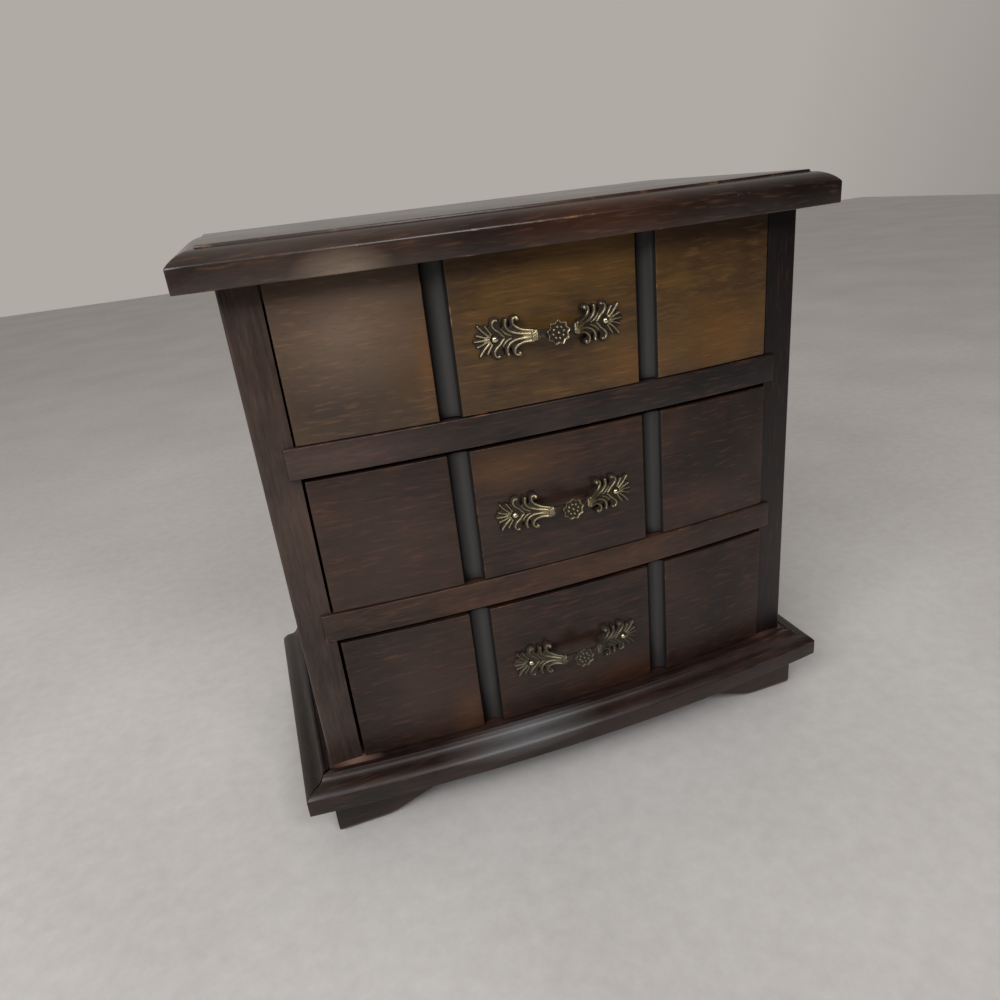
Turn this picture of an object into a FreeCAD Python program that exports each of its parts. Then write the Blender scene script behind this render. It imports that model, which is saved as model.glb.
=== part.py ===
# Musical jewellery chest: a bow-fronted case of three drawers on a plinth with bracket feet.
# Millimetres, +Z up, the front faces -Y, and the origin is under the middle of the whole object.
import FreeCAD, Part
import math
import os
import re
import Sketcher
from FreeCAD import Placement, Rotation, Vector

doc = FreeCAD.newDocument("JewelleryChest")
sheet = doc.addObject("Spreadsheet::Sheet", "Sizes")

# Driving dimensions
SIZES = {
    # Case
    "case_width": 250,
    "case_depth": 136,
    "side_thickness": 15,
    "side_arris": 1.2,
    "back_thickness": 3,
    "back_inset": 8,
    "back_rebate": 7.5,
    "divider_thickness": 5,
    "divider_housing": 3,
    # Rails between the drawers
    "rail_height": 13.3,
    "rail_depth": 8,
    "rail_lap": 4.5,
    "rail_standout": 1.6,
    "rail_rise": 5.9,
    "bottom_opening": 66,
    "middle_opening": 63.5,
    "top_opening": 63.9,
    # Top board
    "top_thickness": 15,
    "top_face": 9,
    "top_step": 1,
    "top_overhang_front": 10.8,
    "top_overhang_side": 14.2,
    "top_overhang_back": 3,
    "top_rise": 7,
    "top_edge_front": 7.5,
    "top_edge_side": 11,
    "top_edge_rise": 1.3,
    "cleat_width": 10,
    "cleat_length": 84,
    "cleat_start": 14,
    # Plinth
    "base_height": 14,
    "base_overhang": 13.2,
    "base_side_overhang": 13.9,
    "base_rise": 9.1,
    "base_face": 8.2,
    "moulding_width": 13,
    "ridge_inset": 9.4,
    "ridge_width": 1.6,
    "ridge_drop": 0.5,
    "ovolo_rise": 0.9,
    "cove_inset": 5.6,
    "cove_height": 10.8,
    "cove_sag": 0.8,
    # Bracket feet
    "foot_height": 21.5,
    "foot_side_inset": 11,
    "foot_front_inset": 6.7,
    "foot_back_inset": 2,
    "foot_thickness": 12,
    "foot_corner": 4,
    "foot_pad": 11,
    "foot_toe": 17,
    "foot_toe_height": 3,
    "foot_toe_bulge": 0.7,
    "foot_slope": 25,
    "foot_slope_height": 12,
    "foot_end_bulge": 1.2,
    "foot_length": 68,
    "foot_side_length": 52,
    # Drawers
    "drawer_side_gap": 0.8,
    "drawer_lift": 0.4,
    "top_drawer_gap": 0.6,
    "middle_drawer_gap": 1.8,
    "bottom_drawer_gap": 2.2,
    "top_drawer_shift": -0.4,
    "middle_drawer_shift": 0.4,
    "bottom_drawer_shift": 0.6,
    "drawer_front_depth": 8,
    "drawer_standout": 1.3,
    "drawer_rise": 5.7,
    "flute_width": 10,
    "flute_depth": 3.3,
    "flute_place": 45.7,
    "box_side_gap": 0.6,
    "runner_gap": 0.3,
    "box_wall": 6,
    "box_headroom": 13.5,
    "box_back_gap": 4,
    "panel_thickness": 2.5,
    "panel_groove": 2.5,
    "panel_rise": 3,
    "lining_thickness": 1,
    "lining_drop": 2,
    "ring_pad_depth": 34,
    "ring_pad_height": 24,
    "ring_roll_rise": 2.6,
    "partition_thickness": 4,
    "partition_place": 35,
    "partition_height": 30,
    # Pulls
    "pull_spacing": 49,
    "pull_drop": 1.5,
    "pull_plate": 1.8,
    "pull_leaf_tip": 8.7,
    "pull_leaf_root": 10,
    "pull_neck": 16.5,
    "pull_leaf_height": 17,
    "pull_rise": 8.2,
    "pull_bar_height": 5,
    "pull_bar_thickness": 2.4,
    "rosette_width": 10.5,
    "rosette_thickness": 2.6,
    "pin_width": 1.4,
    "pin_length": 8,
    "pin_head_width": 2.8,
    "pin_clearance": 0.1,
    # Musical movement
    "movement_clearance": 1.1,
    "bedplate_half_width": 27,
    "bedplate_above": 25,
    "bedplate_below": 22,
    "bedplate_thickness": 1.8,
    "arbor_place": 15,
    "arbor_width": 3,
    "arbor_hole_clearance": 0.5,
    "housing_width": 19,
    "housing_height": 8,
    "wheel_gap": 0.4,
    "arbor_stub": 0.8,
    "crown_teeth": 36,
    "crown_radius": 8.2,
    "crown_face": 1.2,
    "crown_web": 1,
    "tooth_reach": 0.42,
    "tooth_clearance": 0.13,
    "tooth_play": 0.12,
    "pinion_teeth": 12,
    "pinion_width": 1.6,
    "cylinder_width": 13,
    "cylinder_length": 17,
    "pinion_plate_gap": 0.6,
    "cylinder_pin_width": 0.4,
    "cylinder_pin_height": 0.4,
    "spindle_width": 1.6,
    "running_clearance": 0.04,
    "train_module": 0.4,
    "train_reach": 0.34,
    "train_clearance": 0.1,
    "cylinder_wheel_teeth": 28,
    "governor_pinion_teeth": 8,
    "governor_wheel_teeth": 20,
    "brake_pinion_teeth": 8,
    "train_wheel_width": 1.2,
    "governor_drop": 6.6,
    "brake_drop": 5.4,
    "brake_blade": 4.2,
    "brake_length": 4.2,
    "blade_thickness": 0.6,
    "drum_width_across": 4,
    "drum_width": 0.6,
    "bearing_thickness": 1,
    "train_collar": 0.5,
    "plate_gap": 0.7,
    "second_gap": 0.6,
    "blade_gap": 0.8,
    "drum_gap": 0.2,
    "bracket_gap": 0.6,
    "pinion_margin": 0.2,
    "spindle_end": 0.3,
    "plate_margin": 2.5,
    "plate_half_height": 4,
    "plate_foot": 5,
    "plate_foot_thickness": 1,
    "left_plate_gap": 0.6,
    "comb_thickness": 1.6,
    "comb_teeth": 18,
    "comb_length": 17,
    "comb_tip_gap": 0.3,
    "comb_margin": 1,
    "comb_seat_height": 7,
    "comb_screw_width": 2,
    "comb_screw_head_height": 1.4,
    "comb_screw_reach": 4,
    "comb_slot": 0.2,
    "lever_thickness": 0.5,
    "lever_drop": 18,
    "lever_depth": 4.5,
    "lever_width": 2.8,
    "lever_tip_rise": 10,
    "nub_width": 1.6,
    "stud_width": 1.2,
    "lever_tip_gap": 0.3,
    "lever_brake_gap": 0.12,
    "mount_place": 20,
    "mount_rise": 17,
    "movement_screw_width": 2.5,
    "movement_screw_head_height": 1.6,
    "movement_screw_reach": 4.5,
    "movement_screw_head": 5,
    # Winding key
    "key_standout": 8.5,
    "key_gap": 1,
    "key_socket": 6,
    "key_hub_width": 6,
    "key_wing_width": 22,
    "key_wing_length": 12,
    "key_wing_thickness": 1.6,
    # Fasteners
    "brad_width": 1.2,
    "brad_length": 9,
    "brad_head": 2.4,
    "brad_head_height": 0.6,
    "screw_width": 3,
    "screw_length": 22,
    "short_screw_length": 14,
    "screw_head": 6,
    "screw_head_height": 2,
    "screw_clearance": 0.1,
    "hole_depth_spare": 0.5,
}

for row, (alias, number) in enumerate(SIZES.items(), start=1):
    sheet.set(f"A{row}", alias)
    sheet.set(f"B{row}", str(number))
    sheet.setAlias(f"B{row}", alias)
doc.recompute()

PIECES = []


def size(text):
    """Writes an expression's plain words as cells of the sheet."""
    return re.sub(r"[a-z_]+", lambda word: "Sizes." + word[0] if word[0] in SIZES else word[0], text)


def number(text):
    return float(sheet.evalExpression(size(text)))


def bind(thing, prop, text):
    thing.setExpression(prop, size(text))


def piece(thing, label):
    """Counts an object as a sub-part: its label names its file."""
    thing.Label = label
    PIECES.append(thing)
    return thing


# Planes that the pieces are set out from
FRONT = "(base_overhang + base_rise - case_depth - key_standout) / 2"
CASE = "(foot_height + base_height)"
CASE_HEIGHT = "(bottom_opening + middle_opening + top_opening + 2 * rail_height)"
TOP = f"({CASE} + {CASE_HEIGHT})"
SIDE = "(case_width / 2)"
INSIDE = "(case_width / 2 - side_thickness)"
LOWER_RAIL = f"({CASE} + bottom_opening)"
UPPER_RAIL = f"({LOWER_RAIL} + rail_height + middle_opening)"


def solid(body_label):
    body = doc.addObject("PartDesign::Body", body_label)
    return piece(body, body_label)


def sketch_on(body, role, offset="0"):
    """A sketch on one of the body's own planes: XY looks down, XZ looks back, YZ looks from the right."""
    sketch = body.newObject("Sketcher::SketchObject", "Sketch")
    plane = [feature for feature in body.Origin.OriginFeatures if feature.Role == role][0]
    sketch.AttachmentSupport = [(plane, "")]
    sketch.MapMode = "FlatFace"
    bind(sketch, "AttachmentOffset.Base.z", offset)
    return sketch


def draw(sketch, corners):
    """A closed outline. A corner is (x, y), or (x, y, rise) where the edge after it is an arc that
    stands out by rise to the right of the way along."""
    points = [Vector(number(corner[0]), number(corner[1]), 0) for corner in corners]
    first = sketch.GeometryCount
    for index, corner in enumerate(corners):
        start = points[index]
        end = points[(index + 1) % len(corners)]
        if len(corner) == 3:
            way = end - start
            right = Vector(way.y, -way.x, 0).normalize()
            middle = (start + end) * 0.5 + right * number(corner[2])
            sketch.addGeometry(Part.Arc(start, middle, end))
        else:
            sketch.addGeometry(Part.LineSegment(start, end))
    for index, corner in enumerate(corners):
        edge = first + index
        after = first + (index + 1) % len(corners)
        corner_point = points[(index + 1) % len(corners)]
        end_point = 2 if sketch.getPoint(edge, 2).distanceToPoint(corner_point) < 1e-6 else 1
        start_point = 1 if sketch.getPoint(after, 1).distanceToPoint(corner_point) < 1e-6 else 2
        sketch.addConstraint(Sketcher.Constraint("Coincident", edge, end_point, after, start_point))
    for index, corner in enumerate(corners):
        edge = first + index
        spot = 1 if sketch.getPoint(edge, 1).distanceToPoint(points[index]) < 1e-6 else 2
        across = sketch.addConstraint(Sketcher.Constraint("DistanceX", -1, 1, edge, spot, points[index].x))
        up = sketch.addConstraint(Sketcher.Constraint("DistanceY", -1, 1, edge, spot, points[index].y))
        bind(sketch, f"Constraints[{across}]", corner[0])
        bind(sketch, f"Constraints[{up}]", corner[1])
        if len(corner) == 3:
            after = corners[(index + 1) % len(corners)]
            chord = f"((({after[0]}) - ({corner[0]}))^2 + (({after[1]}) - ({corner[1]}))^2)"
            radius = f"abs({chord} / 8 / ({corner[2]}) + ({corner[2]}) / 2)"
            bend = sketch.addConstraint(Sketcher.Constraint("Radius", edge, number(radius)))
            bind(sketch, f"Constraints[{bend}]", radius)


def draw_circle(sketch, x, y, radius):
    index = sketch.addGeometry(Part.Circle(Vector(number(x), number(y), 0), Vector(0, 0, 1), number(radius)))
    across = sketch.addConstraint(Sketcher.Constraint("DistanceX", -1, 1, index, 3, number(x)))
    up = sketch.addConstraint(Sketcher.Constraint("DistanceY", -1, 1, index, 3, number(y)))
    bend = sketch.addConstraint(Sketcher.Constraint("Radius", index, number(radius)))
    bind(sketch, f"Constraints[{across}]", x)
    bind(sketch, f"Constraints[{up}]", y)
    bind(sketch, f"Constraints[{bend}]", radius)


def pad(body, sketch, length, reverse=False):
    feature = body.newObject("PartDesign::Pad", "Pad")
    feature.Profile = sketch
    feature.Reversed = reverse
    bind(feature, "Length", length)
    return feature


def pocket_through(body, sketch):
    feature = body.newObject("PartDesign::Pocket", "Pocket")
    feature.Profile = sketch
    feature.SideType = "Symmetric"
    feature.Type = "ThroughAll"
    return feature


def place(thing, x, y, z):
    bind(thing, "Placement.Base.x", x)
    bind(thing, "Placement.Base.y", y)
    bind(thing, "Placement.Base.z", z)


def cut_box(body, x, y, z, length, width, height):
    """Takes a box out of a body."""
    feature = body.newObject("PartDesign::SubtractiveBox", "Housing")
    bind(feature, "Length", length)
    bind(feature, "Width", width)
    bind(feature, "Height", height)
    place(feature, x, y, z)
    return feature


def add_box(body, x, y, z, length, width, height):
    feature = body.newObject("PartDesign::AdditiveBox", "Block")
    bind(feature, "Length", length)
    bind(feature, "Width", width)
    bind(feature, "Height", height)
    place(feature, x, y, z)
    return feature


AIM = {
    "front": Rotation(Vector(0, 0, 1), Vector(0, -1, 0)),
    "x": Rotation(Vector(0, 0, 1), Vector(1, 0, 0)),
    "y": Rotation(Vector(0, 0, 1), Vector(0, 1, 0)),
    "z": Rotation(),
}


def cylinder_feature(body, kind, way, x, y, z, radius, length):
    feature = body.newObject(f"PartDesign::{kind}Cylinder", "Round")
    feature.Placement = Placement(Vector(0, 0, 0), AIM[way])
    bind(feature, "Radius", radius)
    bind(feature, "Height", length)
    place(feature, x, y, z)
    return feature


def drill(body, way, x, y, z, radius, length):
    """Drills a round hole from (x, y, z) along x, y or z."""
    return cylinder_feature(body, "Subtractive", way, x, y, z, radius, length)


def turn(body, way, x, y, z, radius, length):
    """Adds a round stud from (x, y, z) along x, y or z."""
    return cylinder_feature(body, "Additive", way, x, y, z, radius, length)


def bend_radius(half, rise):
    """Radius of a bow that rises over a half width."""
    return f"((({half})^2 + ({rise})^2) / (2 * ({rise})))"


def revolve(body, kind, sketch, axis_y, sweep):
    """Sweeps a section on the YZ plane round the upright line at axis_y, evenly to both sides."""
    foot = Vector(number(axis_y), 0, 0)
    line = sketch.addGeometry(Part.LineSegment(foot, foot + Vector(0, 10, 0)), True)
    base = sketch.addConstraint(Sketcher.Constraint("DistanceX", -1, 1, line, 1, number(axis_y)))
    sketch.addConstraint(Sketcher.Constraint("DistanceY", -1, 1, line, 1, 0))
    sketch.addConstraint(Sketcher.Constraint("Vertical", line))
    sketch.addConstraint(Sketcher.Constraint("DistanceY", line, 1, line, 2, 10))
    bind(sketch, f"Constraints[{base}]", axis_y)
    feature = body.newObject(f"PartDesign::{kind}", kind)
    feature.Profile = sketch
    feature.ReferenceAxis = (sketch, ["Axis0"])
    feature.Midplane = True
    feature.Angle = sweep
    return feature


# Top board: bowed front, upright face, hollowed slope up to a small step and the flat top
TOP_HALF = "(case_width / 2 + top_overhang_side)"
TOP_FRONT = f"({FRONT} - top_overhang_front)"
TOP_BACK = f"({FRONT} + case_depth + top_overhang_back)"
TOP_AXIS = f"({TOP_FRONT} - top_rise + {bend_radius(TOP_HALF, 'top_rise')})"
TOP_TIP = f"({TOP_FRONT} - top_rise)"

top_board = solid("top_board")
outline = sketch_on(top_board, "XY_Plane", TOP)
draw(outline, [
    (f"-{TOP_HALF}", TOP_FRONT, "top_rise"),
    (TOP_HALF, TOP_FRONT),
    (TOP_HALF, TOP_BACK),
    (f"-{TOP_HALF}", TOP_BACK),
])
pad(top_board, outline, "top_thickness")
slope = sketch_on(top_board, "YZ_Plane")
draw(slope, [
    (f"{TOP_TIP} - 5", f"{TOP} + top_face"),
    (TOP_TIP, f"{TOP} + top_face", "-top_edge_rise"),
    (f"{TOP_TIP} + top_edge_front", f"{TOP} + top_thickness - top_step"),
    (f"{TOP_TIP} + top_edge_front", f"{TOP} + top_thickness + 5"),
    (f"{TOP_TIP} - 5", f"{TOP} + top_thickness + 5"),
])
revolve(top_board, "Groove", slope, TOP_AXIS, 16)
end_slope = sketch_on(top_board, "XZ_Plane")
for hand in ("-", ""):
    far = f"{hand}({TOP_HALF} + 5)"
    edge = f"{hand}{TOP_HALF}"
    near = f"{hand}({TOP_HALF} - top_edge_side)"
    draw(end_slope, [
        (far, f"{TOP} + top_face"),
        (edge, f"{TOP} + top_face", "-top_edge_rise" if hand == "-" else "top_edge_rise"),
        (near, f"{TOP} + top_thickness - top_step"),
        (near, f"{TOP} + top_thickness + 5"),
        (far, f"{TOP} + top_thickness + 5"),
    ])
pocket_through(top_board, end_slope)



def handed(corners, hand):
    """Corners drawn for the right-hand side, or their mirror image for the left."""
    if hand == "right":
        return corners
    return [(f"-({corner[0]})", corner[1]) + tuple(f"-({bend})" for bend in corner[2:]) for corner in corners]


def sign(hand):
    return "" if hand == "right" else "-"


# Side panels: rebated at the back for the back panel and housed for the dividers
BACK_FACE = f"({FRONT} + case_depth - back_inset - back_thickness)"
BACK_OUTSIDE = f"({BACK_FACE} + back_thickness)"
CASE_BACK = f"({FRONT} + case_depth)"
BOX_FLOORS = {
    "bottom": CASE,
    "middle": f"({LOWER_RAIL} + rail_height)",
    "top": f"({UPPER_RAIL} + rail_height)",
}
BRAD_PLACE = f"({INSIDE} + 5.5)"
BRAD_SPOTS = [f"({CASE} + {CASE_HEIGHT} * {part})" for part in (0.08, 0.36, 0.64, 0.92)]
SCREW_PLACE = f"({SIDE} - side_thickness / 2)"
SCREW_SPOTS = [f"({FRONT} + case_depth * {part})" for part in (0.38, 0.58)]
CLEAT_MIDDLE = f"({INSIDE} - cleat_width / 2)"
CLEAT_SPOTS = [f"({FRONT} + cleat_start + cleat_length * {part})" for part in (0.2, 0.8)]
CLEAT_SIDE_SPOTS = [f"({FRONT} + cleat_start + cleat_length * {part})" for part in (0.4, 0.6)]
SCREW_HOLE = "(screw_width / 2 + screw_clearance)"
RECESS = "(screw_head / 2 + screw_clearance)"
BRAD_DEPTH = "(brad_length - back_thickness + hole_depth_spare)"
SCREW_DEPTH = "(screw_length + screw_head_height - base_height + hole_depth_spare)"
CLEAT_DEPTH = "(short_screw_length + screw_head_height - cleat_width + hole_depth_spare)"
BRAD_HOLE = "(brad_width / 2 + screw_clearance)"

for hand in ("left", "right"):
    panel = solid(f"{hand}_side_panel")
    outline = sketch_on(panel, "XY_Plane", CASE)
    draw(outline, handed([
        (INSIDE, FRONT),
        (f"{SIDE} - side_arris", FRONT, "side_arris * 0.293"),
        (SIDE, f"{FRONT} + side_arris"),
        (SIDE, CASE_BACK),
        (f"{INSIDE} + back_rebate", CASE_BACK),
        (f"{INSIDE} + back_rebate", BACK_FACE),
        (INSIDE, BACK_FACE),
    ], hand))
    pad(panel, outline, CASE_HEIGHT)
    near = INSIDE if hand == "right" else f"-{INSIDE} - divider_housing"
    for rail in (LOWER_RAIL, UPPER_RAIL):
        cut_box(panel, near, f"{FRONT} + rail_depth", f"{rail} + rail_height - divider_thickness",
                "divider_housing", f"{BACK_FACE} - {FRONT} - rail_depth", "divider_thickness")
    for spot in BRAD_SPOTS:
        drill(panel, "y", f"{sign(hand)}{BRAD_PLACE}", f"{BACK_FACE} - {BRAD_DEPTH}", spot,
              BRAD_HOLE, BRAD_DEPTH)
    for spot in SCREW_SPOTS:
        drill(panel, "z", f"{sign(hand)}{SCREW_PLACE}", spot, CASE, SCREW_HOLE, SCREW_DEPTH)
    for spot in CLEAT_SIDE_SPOTS:
        start = INSIDE if hand == "right" else f"-{INSIDE} - {CLEAT_DEPTH}"
        drill(panel, "x", start, spot, f"{TOP} - cleat_width / 2", SCREW_HOLE, CLEAT_DEPTH)

# Screws from the cleats go up into the top board
for hand in ("left", "right"):
    for spot in CLEAT_SPOTS:
        drill(top_board, "z", f"{sign(hand)}{CLEAT_MIDDLE}", spot, TOP, SCREW_HOLE, CLEAT_DEPTH)

# Back panel: set into the side panels, with a hole for the winding arbor
MOVEMENT = f"({TOP} - top_opening / 2)"
ARBOR_HOLE = "(arbor_width / 2 + arbor_hole_clearance)"
MOUNT_HOLE = "(movement_screw_width / 2 + screw_clearance)"
MOUNT_SPOTS = [
    ("-mount_place", f"{MOVEMENT} + mount_rise"),
    ("mount_place", f"{MOVEMENT} + mount_rise"),
    ("-mount_place / 2", f"{MOVEMENT} - mount_rise"),
]

back_panel = solid("back_panel")
outline = sketch_on(back_panel, "XY_Plane", CASE)
draw(outline, [
    (f"-{INSIDE} - back_rebate", BACK_FACE),
    (f"{INSIDE} + back_rebate", BACK_FACE),
    (f"{INSIDE} + back_rebate", BACK_OUTSIDE),
    (f"-{INSIDE} - back_rebate", BACK_OUTSIDE),
])
pad(back_panel, outline, CASE_HEIGHT)
drill(back_panel, "y", "-arbor_place", BACK_FACE, MOVEMENT, ARBOR_HOLE, "back_thickness")
for x, z in MOUNT_SPOTS:
    drill(back_panel, "y", x, BACK_FACE, z, MOUNT_HOLE, "back_thickness")
for hand in ("left", "right"):
    for spot in BRAD_SPOTS:
        drill(back_panel, "y", f"{sign(hand)}{BRAD_PLACE}", BACK_FACE, spot, BRAD_HOLE, "back_thickness")

# Base board: the case stands on it, and it shows as a ledge inside the plinth moulding
BASE_HALF = "(case_width / 2 + base_side_overhang)"
BASE_FRONT = f"({FRONT} - base_overhang)"
BASE_TIP = f"({BASE_FRONT} - base_rise)"
BASE_RADIUS = bend_radius(BASE_HALF, "base_rise")
BASE_AXIS = f"({BASE_TIP} + {BASE_RADIUS})"
BOARD_HALF = f"({BASE_HALF} - moulding_width)"
BOARD_RADIUS = f"({BASE_RADIUS} - moulding_width)"
BOARD_FRONT = f"({BASE_AXIS} - sqrt({BOARD_RADIUS}^2 - {BOARD_HALF}^2))"
BOARD_RISE = f"({BOARD_FRONT} - {BASE_TIP} - moulding_width)"

base_board = solid("base_board")
outline = sketch_on(base_board, "XY_Plane", "foot_height")
draw(outline, [
    (f"-{BOARD_HALF}", BOARD_FRONT, BOARD_RISE),
    (BOARD_HALF, BOARD_FRONT),
    (BOARD_HALF, CASE_BACK),
    (f"-{BOARD_HALF}", CASE_BACK),
])
pad(base_board, outline, "base_height")
for hand in ("left", "right"):
    for spot in SCREW_SPOTS:
        drill(base_board, "z", f"{sign(hand)}{SCREW_PLACE}", spot, "foot_height", SCREW_HOLE, "base_height")
        drill(base_board, "z", f"{sign(hand)}{SCREW_PLACE}", spot, "foot_height", RECESS, "screw_head_height")

# Plinth moulding: upright face, rounded shoulder, hollow and a thin ridge, mitred at the front corners
def moulding_section(edge, inward):
    """The section, starting at the foot of its outer face. Inward is + or - along the sketch."""
    bend = "" if inward == "-" else "-"
    hollow = "-" if inward == "-" else ""
    foot = "foot_height"
    return [
        (edge, foot),
        (edge, f"{foot} + base_face", f"{bend}ovolo_rise"),
        (f"{edge} {inward} cove_inset", f"{foot} + cove_height", f"{hollow}cove_sag"),
        (f"{edge} {inward} ridge_inset", f"{foot} + base_height"),
        (f"{edge} {inward} (ridge_inset + ridge_width)", f"{foot} + base_height"),
        (f"{edge} {inward} (ridge_inset + ridge_width)", f"{foot} + base_height - ridge_drop"),
        (f"{edge} {inward} moulding_width", f"{foot} + base_height - ridge_drop"),
        (f"{edge} {inward} moulding_width", foot),
    ]


MITRE = f"({BOARD_FRONT} - {BASE_FRONT})"


def mitre_cut(body, hand, keep_front):
    """Cuts a length of moulding along the line that joins the corner's outside and inside."""
    far = f"{BASE_FRONT} + 60" if keep_front else f"{BASE_FRONT} - 60"
    outline = sketch_on(body, "XY_Plane")
    draw(outline, handed([
        (f"{BASE_HALF} + 2 * moulding_width", f"{BASE_FRONT} - 2 * {MITRE}"),
        (f"{BASE_HALF} - 2 * moulding_width", f"{BASE_FRONT} + 2 * {MITRE}"),
        (f"{BASE_HALF} - 2 * moulding_width", far),
        (f"{BASE_HALF} + 2 * moulding_width", far),
    ], hand))
    pocket_through(body, outline)


plinth_front = solid("plinth_front")
section = sketch_on(plinth_front, "YZ_Plane")
draw(section, moulding_section(BASE_TIP, "+"))
bow = revolve(plinth_front, "Revolution", section, BASE_AXIS, 18)
bind(bow, "Angle", f"2 * asin({BASE_HALF} / {BASE_RADIUS}) + 1.5 deg")
for hand in ("left", "right"):
    mitre_cut(plinth_front, hand, True)

for hand in ("left", "right"):
    plinth = solid(f"plinth_{hand}")
    section = sketch_on(plinth, "XZ_Plane", f"-({CASE_BACK})")
    if hand == "right":
        draw(section, moulding_section(BASE_HALF, "-"))
    else:
        draw(section, moulding_section(f"-{BASE_HALF}", "+"))
    pad(plinth, section, "case_depth + base_overhang + moulding_width")
    mitre_cut(plinth, hand, False)

# Rails: bowed, their ends lapped over the front edges of the side panels
RAIL_HALF = f"({INSIDE} + rail_lap)"
for rail_name, rail in (("lower", LOWER_RAIL), ("upper", UPPER_RAIL)):
    body = solid(f"{rail_name}_rail")
    outline = sketch_on(body, "XY_Plane", rail)
    draw(outline, [
        (f"-{RAIL_HALF}", f"{FRONT} - rail_standout", "rail_rise"),
        (RAIL_HALF, f"{FRONT} - rail_standout"),
        (RAIL_HALF, FRONT),
        (INSIDE, FRONT),
        (INSIDE, f"{FRONT} + rail_depth"),
        (f"-{INSIDE}", f"{FRONT} + rail_depth"),
        (f"-{INSIDE}", FRONT),
        (f"-{RAIL_HALF}", FRONT),
    ])
    pad(body, outline, "rail_height")
    divider = solid(f"{rail_name}_divider")
    add_box(divider, f"-{INSIDE} - divider_housing", f"{FRONT} + rail_depth",
            f"{rail} + rail_height - divider_thickness",
            f"2 * ({INSIDE} + divider_housing)", f"{BACK_FACE} - {FRONT} - rail_depth", "divider_thickness")

# Cleats under the top board
for hand in ("left", "right"):
    cleat = solid(f"top_cleat_{hand}")
    near = f"{INSIDE} - cleat_width" if hand == "right" else f"-{INSIDE}"
    add_box(cleat, near, f"{FRONT} + cleat_start", f"{TOP} - cleat_width",
            "cleat_width", "cleat_length", "cleat_width")
    for spot in CLEAT_SPOTS:
        drill(cleat, "z", f"{sign(hand)}{CLEAT_MIDDLE}", spot, f"{TOP} - cleat_width",
              SCREW_HOLE, "cleat_width")
        drill(cleat, "z", f"{sign(hand)}{CLEAT_MIDDLE}", spot, f"{TOP} - cleat_width",
              RECESS, "screw_head_height")
    mouth = f"{INSIDE} - cleat_width" if hand == "right" else f"-{INSIDE} + cleat_width - screw_head_height"
    for spot in CLEAT_SIDE_SPOTS:
        drill(cleat, "x", near, spot, f"{TOP} - cleat_width / 2", SCREW_HOLE, "cleat_width")
        drill(cleat, "x", mouth, spot, f"{TOP} - cleat_width / 2", RECESS, "screw_head_height")

# Bracket feet: a front or back bracket and a side bracket in one, the lower corner rounded both ways
FOOT_OUT = f"({BASE_HALF} - foot_side_inset)"
FOOT_FRONT = f"({FRONT} - foot_front_inset)"
FOOT_BACK = f"({CASE_BACK} - foot_back_inset)"


def bracket(edge, inward, length):
    """Outline of a bracket from its outer edge: flat pad, rising toe, slope and steeper end."""
    part = f"(({length}) - foot_pad) / (foot_length - foot_pad)"
    bend = "-" if inward == "-" else ""
    toe = f"(foot_pad + foot_toe * {part})"
    slope = f"(foot_pad + (foot_toe + foot_slope) * {part})"
    return [
        (edge, "foot_height"),
        (edge, "0"),
        (f"{edge} {inward} foot_pad", "0", f"{bend}foot_toe_bulge"),
        (f"{edge} {inward} {toe}", "foot_toe_height"),
        (f"{edge} {inward} {slope}", "foot_slope_height", f"{bend}foot_end_bulge"),
        (f"{edge} {inward} ({length})", "foot_height"),
    ]


def corner_cut(body, role, edge, inward):
    """Rounds the lower corner of a foot, seen along one way."""
    outward = "+" if inward == "-" else "-"
    bend = "-" if inward == "-" else ""
    outline = sketch_on(body, role)
    draw(outline, [
        (f"{edge} {outward} 1", "-1"),
        (f"{edge} {outward} 1", "foot_corner"),
        (edge, "foot_corner", f"{bend}(foot_corner * 0.293)"),
        (f"{edge} {inward} foot_corner", "0"),
        (f"{edge} {inward} foot_corner", "-1"),
    ])
    pocket_through(body, outline)


for depth in ("front", "back"):
    for hand in ("left", "right"):
        foot = solid(f"{depth}_{hand}_foot")
        edge = f"{sign(hand)}{FOOT_OUT}"
        inward = "-" if hand == "right" else "+"
        far = FOOT_FRONT if depth == "front" else FOOT_BACK
        backward = "+" if depth == "front" else "-"
        across = sketch_on(foot, "XZ_Plane", f"-({far})")
        draw(across, bracket(edge, inward, "foot_length"))
        pad(foot, across, "foot_thickness", reverse=(depth == "front"))
        side = sketch_on(foot, "YZ_Plane", edge)
        draw(side, bracket(far, backward, "foot_side_length"))
        pad(foot, side, "foot_thickness", reverse=(hand == "right"))
        corner_cut(foot, "XZ_Plane", edge, inward)
        corner_cut(foot, "YZ_Plane", far, backward)

# Depths of the movement, forward of the back panel, which set the top drawer's length
HOUSING_END = "(bedplate_thickness + housing_height)"
CROWN_BACK = f"({HOUSING_END} + wheel_gap)"
CROWN_FLOOR = f"({CROWN_BACK} + crown_web)"
CROWN_TIP = f"({CROWN_FLOOR} + tooth_clearance + 2 * tooth_reach)"
PINION_RADIUS = "(crown_radius * pinion_teeth / crown_teeth)"
AXIS_DEPTH = f"({CROWN_FLOOR} + tooth_clearance + tooth_reach + {PINION_RADIUS})"
MOVEMENT_DEPTH = f"({AXIS_DEPTH} + cylinder_width / 2 + cylinder_pin_height + movement_clearance)"

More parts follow.
